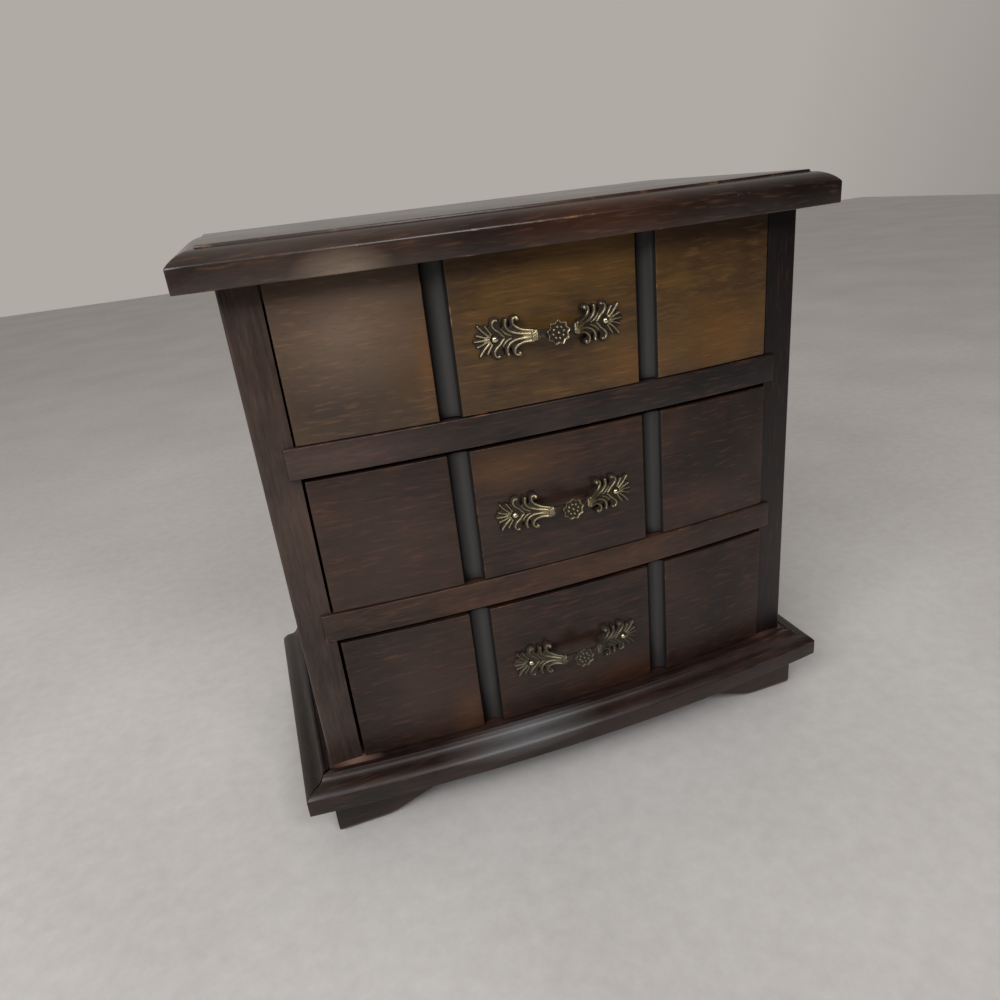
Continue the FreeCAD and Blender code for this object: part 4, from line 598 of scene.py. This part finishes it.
for level in ("top", "middle", "bottom"):
    low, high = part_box(f"{level}_drawer_front")
    half = (high[0] - low[0]) / 2
    end_front = low[1] + DRAWER_RISE
    front = block(f"{level}_drawer_fluted_front", (trims[level] - half, end_front, low[2]),
                  (half, high[1], high[2]))
    flute_edges = [hand * FLUTE_PLACE + side * FLUTE_HALF for hand in (-1, 1) for side in (-1, 1)]
    for place in flute_edges:
        pick(front, "FACE", lambda centre, normal: True)
        bpy.ops.mesh.bisect(plane_co=(place, 0, 0), plane_no=(1, 0, 0))
    for least, most, cuts in ((FLUTE_HALF * 4, 1, FLAT_CUTS),
                              (FLUTE_HALF * 1.7, FLUTE_HALF * 2.1, FLUTE_CUTS)):
        pick(front, "EDGE", lambda start, end: max(start.y, end.y) < end_front + NEAR
             and least < abs(start.x - end.x) < most)
        bpy.ops.mesh.subdivide(number_cuts=cuts)
    bow(front, DRAWER_RISE, half, lambda spot: spot.y < end_front + NEAR)
    for place in (-FLUTE_PLACE, FLUTE_PLACE):
        pick(front, "VERT", lambda spot: spot.y > high[1] - NEAR)
        bpy.ops.mesh.hide(unselected=False)
        pick(front, "VERT", lambda spot: abs(spot.x - place) < NEAR)
        bpy.ops.transform.translate(value=(0, FLUTE_DEPTH, 0), use_proportional_edit=True,
                                    proportional_edit_falloff="SPHERE", proportional_size=FLUTE_HALF)
        bpy.ops.mesh.reveal(select=False)
    pick(front, "VERT", lambda spot: True)
    bpy.ops.transform.translate(value=(shifts[level], 0, 0))
    soften(front, FRONT_ROUND)
    wear(front, front_woods[level], f"{level}_drawer", f"{level}_drawer_front")

# Drawer boxes: sides and back of plain wood, a thin panel in their grooves, and the partition of the
# middle drawer.
for level in ("top", "middle", "bottom"):
    for part in ("left_side", "right_side"):
        wear(nodes[f"{level}_drawer_{part}"], plain_wood_deep)
    wear(nodes[f"{level}_drawer_back"], plain_wood)
    wear(nodes[f"{level}_drawer_bottom"], fibreboard)

# Pulls: bridge pulls cast in brass and darkened, their ends as mirrored leaves with curled tips, the
# necks reeded under a beaded collar, and a flower in the middle. Two round-headed pins hold each.
PIN_SPOT = 24.5
BOW_TURN = math.radians(0.9)
BOW_BACK = 0.35
# The pattern is in millimetres from the middle of the pull: how far its face stands out along x, the
# edge of a leaf, and the strands with their widths, seen from the front.
LIFT = [
    (0, 8.2), (7, 8.1), (10, 7.2), (12, 5.5), (14.5, 3.7), (17, 3.0), (21, 2.5), (24.5, 2.2), (29, 1.8),
    (34, 1.2),
]
LEAF_EDGE = [
    (11.5, 2.4), (13.6, 2.7), (15.2, 3.9), (15.4, 5.4), (14.0, 5.7), (13.2, 6.8), (13.8, 8.0), (15.2, 8.5),
    (16.9, 8.0), (17.6, 6.4), (17.5, 4.4), (18.2, 3.7), (18.6, 5.0), (18.4, 6.8), (19.1, 7.8), (20.2, 7.5),
    (20.6, 6.2), (20.4, 4.5), (21.2, 3.8), (22.2, 5.3), (21.6, 7.1), (22.3, 8.3), (23.8, 8.5), (25.4, 7.9),
    (26.0, 6.3), (26.0, 4.8), (27.2, 5.9), (28.2, 6.3), (28.5, 5.2), (30.0, 6.4), (31.3, 6.7), (31.0, 5.2),
    (30.2, 3.9), (29.9, 3.0), (31.3, 3.0), (32.3, 2.6), (31.9, 1.6), (33.2, 0.8),
]
STRANDS = [
    ([(9.4, 2.1), (11.5, 2.2), (13.4, 2.6), (15.3, 3.6), (16.6, 5.2), (16.5, 7.1), (15.0, 7.9),
      (14.0, 7.2), (14.4, 6.5)],
     [0.45, 0.45, 0.45, 0.45, 0.45, 0.42, 0.36, 0.3, 0.3]),
    ([(9.4, 0.75), (12.0, 0.8), (15.0, 1.1), (17.6, 2.0), (19.2, 3.6), (19.7, 5.3), (19.3, 6.9)],
     [0.42, 0.42, 0.4, 0.4, 0.38, 0.36, 0.4]),
    ([(20.2, 0.3), (21.3, 1.1), (22.1, 2.4), (23.9, 3.7), (25.0, 5.3), (24.6, 6.9), (23.3, 7.7), (22.4, 7.0)],
     [0.3, 0.4, 0.42, 0.42, 0.42, 0.4, 0.34, 0.3]),
    ([(26.0, 1.0), (27.8, 2.5), (29.5, 4.2), (30.9, 6.1)], [0.5, 0.45, 0.38, 0.4]),
    ([(26.8, 0.6), (29.2, 1.4), (31.8, 2.4)], [0.35, 0.32, 0.36]),
    ([(25.4, 1.9), (26.6, 3.7), (27.9, 5.8)], [0.35, 0.35, 0.34]),
    ([(17.4, 0.5), (19.0, 1.0), (20.6, 2.4), (21.3, 3.6)], [0.25, 0.3, 0.3, 0.2]),
]
VEINS = [
    ([(26.4, 0), (29.6, 0), (32.8, 0)], [0.5, 0.42, 0.3]),
    ([(9.4, 0), (11, 0), (13, 0)], [0.3, 0.3, 0.2]),
]
BALLS = [(14.6, 6.9, 0.9), (19.3, 7.0, 0.65), (23.0, 7.2, 0.6), (30.8, 6.0, 0.5)]
NECK = [
    (0, 8.1), (7, 8.0), (10, 7.1), (12, 5.4), (14.5, 3.5), (18, 2.5), (18, 0.2), (15.5, 0.2), (13.6, 1.6),
    (10, 4.4), (7, 5.7), (0, 5.9),
]
NECK_HALF = 1.7
NECK_FLARE = 1.45
FLARE_FROM = 7.5
LEAF_DEEP = 9
LEAF_FACE = (0.125, -1, 0)
STRAND_THICK = 0.00122
STRAND_SINK = 0.1
BALL_SINK = 0.05
COLLAR = (8.3, 9.1, 9.9)
COLLAR_BEADS = 8
COLLAR_SPREAD = 156
COLLAR_WIDE = 2.5
COLLAR_HIGH = 1.55
COLLAR_SINK = 1.3
BEAD = 0.48
PETALS = 9
FLOWER_RADIUS = 5.25
FLOWER_BACK = 9.2
FLOWER_THICK = 1.2
FLOWER_RIM = 0.75
STEM = 2.2
SEEDS = 8
SEED_RING = 2.35
CASTING_VOXEL = 0.00019
KEPT = 0.45


def lift(x):
    """How far the face of the casting stands out from the drawer front at x, in millimetres."""
    for (near, out), (far, beyond) in zip(LIFT, LIFT[1:]):
        if x <= far:
            return out + (beyond - out) * (x - near) / (far - near)
    return LIFT[-1][1]


def at(x, z, out):
    """A place on the flat pattern of the pull, in metres."""
    return (x / 1000, -out / 1000, z / 1000)


def strand(points, widths):
    """A tapering strand of the pattern, laid along (x, z) points on the face of the casting."""
    put_down()
    bpy.ops.curve.primitive_nurbs_path_add(location=(0, 0, 0))
    path = bpy.context.object
    path.data.splines.clear()
    spline = path.data.splines.new("NURBS")
    spline.points.add(len(points) - 1)
    for point, (x, z), width in zip(spline.points, points, widths):
        point.co = (*at(x, z, lift(x) - STRAND_SINK), 1)
        point.radius = width
    spline.order_u = 3
    spline.use_endpoint_u = True
    path.data.bevel_depth = STRAND_THICK
    path.data.bevel_resolution = 2
    path.data.resolution_u = 5
    path.data.use_fill_caps = True
    bpy.ops.object.convert(target="MESH")
    return bpy.context.object


def ball(x, z, out, radius):
    """A round bead of the pattern."""
    put_down()
    bpy.ops.mesh.primitive_ico_sphere_add(subdivisions=2, radius=radius / 1000, location=at(x, z, out))
    bpy.ops.object.transform_apply()
    return bpy.context.object


def another(pattern, name, move):
    """A copy of a pattern piece, moved, its place kept in its mesh."""
    copy = pattern.copy()
    copy.data = pattern.data.copy()
    copy.name = name
    scene.collection.objects.link(copy)
    pick(copy, "VERT", lambda spot: True)
    bpy.ops.transform.translate(value=move)
    mode("OBJECT")
    return copy


def together(name, parts):
    """Joins parts into one piece."""
    alone(parts[0])
    for part in parts:
        part.select_set(True)
    bpy.ops.object.join()
    parts[0].name = name
    return parts[0]


def spin_off(piece, kind, **settings):
    """Adds a modifier to a piece and applies it."""
    alone(piece)
    bpy.ops.object.modifier_add(type=kind)
    modifier = piece.modifiers[-1]
    for setting, value in settings.items():
        setattr(modifier, setting, value)
    bpy.ops.object.modifier_apply(modifier=modifier.name)


edge = LEAF_EDGE + [(x, -z) for x, z in reversed(LEAF_EDGE)]
plate = profile("pull_leaf", at(*edge[0], 0), [at(x, z, 0) for x, z in edge[1:]])
pull_out(at(0, 0, LEAF_DEEP))
everything()
bpy.ops.mesh.bisect(plane_co=at(33.2, 0, 0.7), plane_no=LEAF_FACE, clear_outer=True, use_fill=True)
neck_side = [at(x, -NECK_HALF, out) for x, out in NECK]
neck = profile("pull_neck", neck_side[0], neck_side[1:])
pull_out(at(0, 2 * NECK_HALF, 0))
pick(neck, "VERT", lambda spot: spot.x > FLARE_FROM / 1000)
bpy.ops.transform.resize(value=(1, 1, NECK_FLARE), center_override=(0, 0, 0))
face_outward()
half_parts = [plate, neck]
for points, widths in STRANDS:
    half_parts.append(strand(points, widths))
    half_parts.append(strand([(x, -z) for x, z in points], widths))
half_parts += [strand(points, widths) for points, widths in VEINS]
for x, z, radius in BALLS:
    half_parts += [ball(x, hand * z, lift(x) - BALL_SINK, radius) for hand in (1, -1)]
for row, x in enumerate(COLLAR):
    for step in range(COLLAR_BEADS - row % 2):
        turn = math.radians(COLLAR_SPREAD * ((step + 0.5 * (row % 2)) / (COLLAR_BEADS - 1) - 0.5))
        out = lift(x) - COLLAR_SINK + COLLAR_HIGH * math.cos(turn)
        half_parts.append(ball(x, COLLAR_WIDE * math.sin(turn), out, BEAD))
half_pull = together("pull_half", half_parts)
mode("EDIT")
everything()
bpy.ops.transform.rotate(value=-BOW_TURN, orient_axis="Z", center_override=(0, 0, 0))
mode("OBJECT")
spin_off(half_pull, "MIRROR", use_mirror_merge=False)

put_down()
bpy.ops.mesh.primitive_circle_add(vertices=2 * PETALS, radius=FLOWER_RADIUS / 1000, fill_type="NGON",
                                  location=at(0, 0, FLOWER_BACK), rotation=(math.pi / 2, 0, 0))
bpy.ops.object.transform_apply()
flower = bpy.context.object
tips = [vertex.co.copy() for index, vertex in enumerate(flower.data.vertices) if index % 2]
pick(flower, "VERT", lambda spot: min((spot - tip).length for tip in tips) < NEAR)
bpy.ops.transform.resize(value=(0.8, 1, 0.8), center_override=at(0, 0, FLOWER_BACK))
everything()
pull_out(at(0, 0, FLOWER_THICK))
bpy.ops.mesh.inset(thickness=FLOWER_RIM / 1000)
bpy.ops.transform.translate(value=at(0, 0, -FLOWER_RIM))
pick(flower, "VERT", lambda spot: abs(spot.y + FLOWER_BACK / 1000) < NEAR)
bpy.ops.mesh.select_mode(type="FACE")
pull_out(at(0, 0, -STEM))
bpy.ops.transform.resize(value=(0.5, 1, 0.3), center_override=at(0, 0, FLOWER_BACK - STEM))
face_outward()
seeds = [ball(0, 0, 10.0, 0.72)]
for step in range(SEEDS):
    turn = math.radians(360 / SEEDS * step + 12)
    seeds.append(ball(SEED_RING * math.cos(turn), SEED_RING * math.sin(turn), 9.9, 0.6))
casting = together("pull_casting", [half_pull, flower] + seeds)
spin_off(casting, "REMESH", mode="VOXEL", voxel_size=CASTING_VOXEL)
mode("EDIT")
everything()
bpy.ops.mesh.vertices_smooth(factor=0.5, repeat=2)
mode("OBJECT")
spin_off(casting, "DECIMATE", ratio=KEPT)
bpy.ops.object.shade_smooth()
proud = casting.data.attributes.new("proud", "FLOAT", "POINT")
for vertex in casting.data.vertices:
    x = abs(vertex.co.x) * 1000
    out = x * math.tan(BOW_TURN) - vertex.co.y * 1000
    in_flower = x < 5.6 and out > 8.9
    hollow = 9.75 if in_flower else lift(x) - 0.15
    proud.data[vertex.index].value = max(0, min(1, (out - hollow) / 0.5))


CAST_GRAIN = 0.5
CAST_HEIGHT = 0.00006
TARNISH = 3


def antique_brass(name, hollow, low, high, dull):
    """Cast brass dipped dark and rubbed back: gold on the raised strands, brown-black in the hollows.
    A dull one has browner strands that hardly shine."""
    skin = blank(name)
    place = add(skin, "ShaderNodeTexCoord").outputs["Object"]
    cast = add(skin, "ShaderNodeTexNoise", {"Scale": 1000 / CAST_GRAIN, "Detail": 4.0, "Roughness": 0.65},
               {"Vector": place})
    tarnish = add(skin, "ShaderNodeTexNoise", {"Scale": 1000 / TARNISH, "Detail": 3.0}, {"Vector": place})
    proud = add(skin, "ShaderNodeAttribute", {"attribute_name": "proud"}).outputs["Fac"]
    uneven = add(skin, "ShaderNodeMath", {"operation": "MULTIPLY_ADD", 1: 0.7}, {0: tarnish, 2: proud})
    rubbed = add(skin, "ShaderNodeMapRange", {"From Min": 0.55}, {"Value": uneven})
    gold = add(skin, "ShaderNodeValToRGB", {"stops": [(0.35, linear(low)), (0.65, linear(high))]},
               {"Fac": cast})
    tone = add(skin, "ShaderNodeMix", {"data_type": "RGBA", 6: linear(hollow)}, {0: rubbed, 7: gold})
    metal = add(skin, "ShaderNodeMapRange", {"To Min": 0.55, "To Max": 1.0}, {"Value": rubbed})
    rough = add(skin, "ShaderNodeMapRange", {"To Min": 0.6, "To Max": 0.33 + dull}, {"Value": rubbed})
    relief = add(skin, "ShaderNodeBump", {"Strength": 0.35, "Distance": CAST_HEIGHT}, {"Height": cast})
    shader = add(skin, "ShaderNodeBsdfPrincipled", {}, {
        "Base Color": tone.outputs[2], "Metallic": metal, "Roughness": rough, "Normal": relief})
    add(skin, "ShaderNodeOutputMaterial", {}, {"Surface": shader})
    return skin


cast_brasses = {
    "top": antique_brass("antiqued_brass_bright", "#352c26", "#82785e", "#b9ac89", 0.02),
    "middle": antique_brass("antiqued_brass_medium", "#3a3029", "#7c7259", "#aa9e7d", 0.05),
    "bottom": antique_brass("antiqued_brass_dull", "#443c33", "#5e5849", "#85806d", 0.15),
}
# Pale brass polished by fingers: each pin's round head carries one bright point.
pin_brass = plain_metal("polished_pin_brass", "#d8cfae", 0.22, 0.5)

PIN_SECTION = [
    (0, 1.45), (0.5, 1.38), (0.95, 1.15), (1.28, 0.75), (1.42, 0.3), (1.35, -0.15), (0.7, -0.2),
    (0.7, -7.9), (0, -7.9),
]
PIN_STEPS = 24
PIN_OUT = 2.2
pin_half = [at(x, 0, out) for x, out in PIN_SECTION]
pin = profile("pull_pin", pin_half[0], pin_half[1:])
bpy.ops.mesh.delete(type="ONLY_FACE")
pick(pin, "EDGE", lambda start, end: start.x + end.x < NEAR)
bpy.ops.mesh.delete(type="EDGE")
everything()
bpy.ops.mesh.spin(steps=PIN_STEPS, angle=2 * math.pi, center=(0, 0, 0), axis=(0, 1, 0))
everything()
bpy.ops.mesh.remove_doubles(threshold=WELD)
face_outward()
mode("OBJECT")
pins = [another(pin, "pull_pin", at(hand * PIN_SPOT, 0, PIN_OUT - BOW_BACK)) for hand in (-1, 1)]
pin_pair = together("pull_pin_pair", pins)
bpy.ops.object.shade_smooth_by_angle(angle=math.radians(40))

for level in ("top", "middle", "bottom"):
    low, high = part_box(f"{level}_drawer_pull")
    front_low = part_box(f"{level}_drawer_front")[0]
    middle = ((low[0] + high[0]) / 2, front_low[1], (low[2] + high[2]) / 2)
    for pattern, name, material, node in (
        (casting, "cast_pull", cast_brasses[level], "drawer_pull"),
        (pin_pair, "round_headed_pins", pin_brass, "drawer_pull_pins"),
    ):
        piece = another(pattern, f"{level}_{name}", middle)
        wear(piece, material, f"{level}_drawer", f"{level}_{node}")
for pattern in (casting, pin_pair, pin):
    bpy.data.objects.remove(pattern)

# Linings: open trays of thin card faced with red velvet, pressed into the drawers, their rims and
# corners rounded over. The partition of the middle drawer is a card faced with the same velvet.


PILE = 0.35
BRUSHED = 18
PILE_HEIGHT = 0.0002
VELVET_IOR = 1.3


def red_velvet():
    """Short-piled dark red velvet: darker where it is looked at straight on, with brushed patches."""
    skin = blank("deep_red_velvet")
    place = add(skin, "ShaderNodeTexCoord").outputs["Object"]
    pile = add(skin, "ShaderNodeTexNoise", {"Scale": 1000 / PILE, "Detail": 2.0}, {"Vector": place})
    brushed = add(skin, "ShaderNodeTexNoise", {"Scale": 1000 / BRUSHED, "Detail": 3.0, "Distortion": 1.2},
                  {"Vector": place})
    shade = add(skin, "ShaderNodeMix", {"data_type": "FLOAT", 0: 0.35}, {2: brushed, 3: pile})
    tone = add(skin, "ShaderNodeValToRGB", {"stops": [(0.35, linear("#4a0c14")), (0.65, linear("#7d1c28"))]},
               {"Fac": shade})
    relief = add(skin, "ShaderNodeBump", {"Strength": 0.6, "Distance": PILE_HEIGHT}, {"Height": pile})
    shader = add(skin, "ShaderNodeBsdfPrincipled",
                 {"Roughness": 0.95, "IOR": VELVET_IOR, "Sheen Weight": 0.6, "Sheen Roughness": 0.35,
                  "Sheen Tint": linear("#b04a55")},
                 {"Base Color": tone, "Normal": relief})
    add(skin, "ShaderNodeOutputMaterial", {}, {"Surface": shader})
    return skin


velvet = red_velvet()
LINING_WALL = 0.001
RIM_ROUND = 0.00045
CORNER_ROUND = 0.0025
PARTITION_ROUND = 0.0012
for level in ("top", "middle", "bottom"):
    low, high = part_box(f"{level}_drawer_lining")
    lining = block(f"{level}_drawer_velvet_lining", low, high)
    pick(lining, "FACE", lambda centre, normal: normal.z > UPWARD)
    bpy.ops.mesh.inset(thickness=LINING_WALL)
    pull_out((0, 0, low[2] + LINING_WALL - high[2]))
    tray = [(low[axis] + LINING_WALL - NEAR, high[axis] - LINING_WALL + NEAR) for axis in (0, 1)]
    pick(lining, "EDGE", lambda start, end: min(start.z, end.z) < high[2] - NEAR and all(
        least < spot[axis] < most for spot in (start, end) for axis, (least, most) in enumerate(tray)))
    bpy.ops.mesh.bevel(offset=CORNER_ROUND, segments=ROUND_STEPS, affect="EDGES")
    pick(lining, "EDGE", lambda start, end: min(start.z, end.z) > high[2] - NEAR)
    bpy.ops.mesh.bevel(offset=RIM_ROUND, segments=ROUND_STEPS - 1, affect="EDGES")
    mode("OBJECT")
    bpy.ops.object.shade_smooth_by_angle(angle=math.radians(40))
    wear(lining, velvet, f"{level}_drawer", f"{level}_drawer_lining")

partition = worked("velvet_covered_partition", "drawer_partition", PARTITION_ROUND)
wear(partition, velvet, "middle_drawer", "drawer_partition")

# Ring rolls: four rolls of wadding in the same velvet, side by side across the top drawer, pressed
# together so that a ring is held in the groove between two of them. One is made and copied.
ROLLS = 4
ROLL_GAP = 0.0003
ROLL_SWELL = 0.0007
ROLL_ROUND = 0.0032
ROLL_VOXEL = 0.0016
PRESSURE = 4
SETTLE = 20
MOST_SWELL = ROLL_SWELL * 0.9
low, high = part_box("ring_pad")
pitch = (high[1] - low[1]) / ROLLS
roll = block("ring_roll", (low[0] + ROLL_SWELL, low[1] + ROLL_GAP + ROLL_SWELL, low[2] + ROLL_SWELL),
             (high[0] - ROLL_SWELL, low[1] + pitch - ROLL_GAP - ROLL_SWELL, high[2] - 2 * ROLL_SWELL))
mode("EDIT")
everything()
bpy.ops.mesh.bevel(offset=ROLL_ROUND, segments=ROUND_STEPS, affect="EDGES")
spin_off(roll, "REMESH", mode="VOXEL", voxel_size=ROLL_VOXEL)
alone(roll)
bpy.ops.object.modifier_add(type="CLOTH")
cloth = roll.modifiers[-1]
cloth.settings.use_pressure = True
cloth.settings.uniform_pressure_force = PRESSURE
cloth.settings.effector_weights.gravity = 0
before = [vertex.co.copy() for vertex in roll.data.vertices]
for count in range(1, SETTLE + 1):
    scene.frame_set(count)
bpy.ops.object.modifier_apply(modifier=cloth.name)
for vertex, start in zip(roll.data.vertices, before):
    moved = vertex.co - start
    if moved.length > MOST_SWELL:
        vertex.co = start + moved.normalized() * MOST_SWELL
scene.frame_set(1)
spin_off(roll, "SUBSURF", levels=1)
bpy.ops.object.shade_smooth()
for count in range(ROLLS):
    ring_roll = another(roll, f"ring_roll_{count + 1}", (0, pitch * count, 0))
    wear(ring_roll, velvet, "top_drawer", "ring_pad")
bpy.data.objects.remove(roll)

# Movement: wind-up, on a plated bedplate behind the top drawer. The wheels, cylinder and bearings are
# turned brass, the housing is cast, the comb is hardened steel and the key outside is plated.

# Thin gilt on pressed sheet and, coarser and duller, on the casting; dark comb steel ground smooth;
# spring steel with a mirror sheen; and a pale plated key.
bedplate_gilt = plain_metal("gilt_pressed_bedplate", "#c9a861", 0.3, 0.8)
cast_gilt = plain_metal("gilt_cast_housing", "#b8994f", 0.42, 1.2, 0.8)
comb_steel = plain_metal("hardened_comb_steel", "#9b9ea3", 0.24, 0.3)
spring_steel = plain_metal("polished_spring_steel", "#a9abac", 0.2, 0.6)
key_plate = plain_metal("plated_key_metal", "#c9b98c", 0.3, 0.7)
for node, material in (
    ("movement_bedplate", bedplate_gilt), ("spring_housing", cast_gilt), ("great_wheel", brass),
    ("pin_cylinder", brass), ("cylinder_bearings", bedplate_gilt), ("governor_bracket", bedplate_gilt),
    ("governor_wheel", brass), ("air_brake", brass), ("comb", comb_steel), ("comb_screws", steel),
    ("stop_lever", spring_steel),
):
    wear(nodes[node], material)

SLOT_WIDTH = 0.0009
SLOT_DEPTH = 0.0008
SLOT_HALF = 0.004
HEAD_AREA = 0.00001
HEAD_ROUND = 0.0003
low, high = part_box("movement_screws")
screws = worked("slotted_movement_screws", "movement_screws", HEAD_ROUND)
heads = [face.center.copy() for face in screws.data.polygons
         if face.area > HEAD_AREA and face.normal.y > 0.9]
cutters = [block("slot", (head.x - SLOT_HALF, high[1] - SLOT_DEPTH, head.z - SLOT_WIDTH / 2),
                 (head.x + SLOT_HALF, high[1] + SLOT_DEPTH, head.z + SLOT_WIDTH / 2)) for head in heads]
cutter = together("slots", cutters)
spin_off(screws, "BOOLEAN", object=cutter, operation="DIFFERENCE", solver="EXACT")
bpy.data.objects.remove(cutter)
alone(screws)
bpy.ops.object.shade_smooth_by_angle(angle=SMOOTH_UNDER)
wear(screws, steel, "case", "movement_screws")

KEY_ROUND = 0.0004
WING_CORNER = 0.003
WING_EDGE = 0.0005
low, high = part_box("winding_key")
wing_key = worked("winding_wing_key", "winding_key", KEY_ROUND,
                  lambda start, end: abs(start.z - end.z) > WING_EDGE and all(
                      min(spot.x - low[0], high[0] - spot.x) < NEAR for spot in (start, end)), WING_CORNER)
wear(wing_key, key_plate, "winding", "winding_key")

# The floor, the light and the camera: a pale smooth floor, one broad soft light high on the left,
# and the camera close in front, a little above the chest and rolled as it was held.
FLOOR_SIZE = 6
SPECKLE = 9
FLOOR_CLOUD = 160
SPECKLE_HEIGHT = 0.0004
put_down()
bpy.ops.mesh.primitive_plane_add(size=FLOOR_SIZE, location=(0, 0, 0))
floor = bpy.context.object
floor.name = "floor"
# Rolled matt paint: an even pale grey, faintly clouded, with no reflection of the chest.
pale = blank("pale_painted_floor")
place = add(pale, "ShaderNodeTexCoord").outputs["Object"]
speckle = add(pale, "ShaderNodeTexNoise", {"Scale": 1000 / SPECKLE, "Detail": 6.0, "Roughness": 0.7},
              {"Vector": place})
cloudy = add(pale, "ShaderNodeTexNoise", {"Scale": 1000 / FLOOR_CLOUD, "Detail": 3.0}, {"Vector": place})
mottle = add(pale, "ShaderNodeMix", {"data_type": "FLOAT", 0: 0.5}, {2: speckle, 3: cloudy})
tone = add(pale, "ShaderNodeValToRGB", {"stops": [(0.35, linear("#cbc9c8")), (0.65, linear("#dddcdb"))]},
           {"Fac": mottle})
relief = add(pale, "ShaderNodeBump", {"Strength": 0.15, "Distance": SPECKLE_HEIGHT}, {"Height": speckle})
shader = add(pale, "ShaderNodeBsdfPrincipled", {"Roughness": 0.55, "IOR": 1.45},
             {"Base Color": tone, "Normal": relief})
add(pale, "ShaderNodeOutputMaterial", {}, {"Surface": shader})
floor.data.materials.append(pale)

room = bpy.data.worlds.new("soft_room")
scene.world = room
room.use_nodes = True
room.node_tree.nodes.clear()
BRIGHT_WALL = (-0.6, 0.9, 0.3)
way = add(room, "ShaderNodeTexCoord").outputs["Generated"]
toward = add(room, "ShaderNodeVectorMath", {"operation": "DOT_PRODUCT", 1: BRIGHT_WALL},
             {0: way}).outputs["Value"]
near = add(room, "ShaderNodeMapRange", {"From Min": -0.5, "From Max": 0.35}, {"Value": toward})
glow = add(room, "ShaderNodeMix", {"data_type": "RGBA", 6: linear("#474340"), 7: linear("#cdc7c0")},
           {0: near})
walls = add(room, "ShaderNodeBackground", {"Strength": 0.71}, {"Color": glow.outputs[2]})
add(room, "ShaderNodeOutputWorld", {}, {"Surface": walls})

LAMP_TINT = (1.0, 0.98, 0.97)
LAMP_AIM = Vector((0, 0, 0.12))
for name, spot, width, height, watts in (
    ("soft_light_left", (-0.85, -0.8, 0.95), 0.9, 0.7, 11),
    ("soft_light_right", (0.2, -1.1, 1.05), 0.5, 0.4, 5),
):
    bpy.ops.object.light_add(type="AREA", location=spot)
    lamp = bpy.context.object
    lamp.name = name
    lamp.data.shape = "RECTANGLE"
    lamp.data.size = width
    lamp.data.size_y = height
    lamp.data.energy = watts
    lamp.data.color = LAMP_TINT
    lamp.rotation_euler = (LAMP_AIM - lamp.location).to_track_quat("-Z", "Y").to_euler()

CAMERA_PLACE = (-0.1158, -0.3591, 0.2805)
CAMERA_TURN = (66.957, 6.001, -19.023)
SENSOR = 36
LENS = 27.17
NEAREST = 0.01
bpy.ops.object.camera_add(location=CAMERA_PLACE, rotation=[math.radians(turn) for turn in CAMERA_TURN])
camera = bpy.context.object
camera.name = "photo_camera"
camera.data.sensor_width = SENSOR
camera.data.lens = LENS
camera.data.clip_start = NEAREST
scene.camera = camera
scene.view_settings.view_transform = "Standard"

bpy.context.view_layer.update()
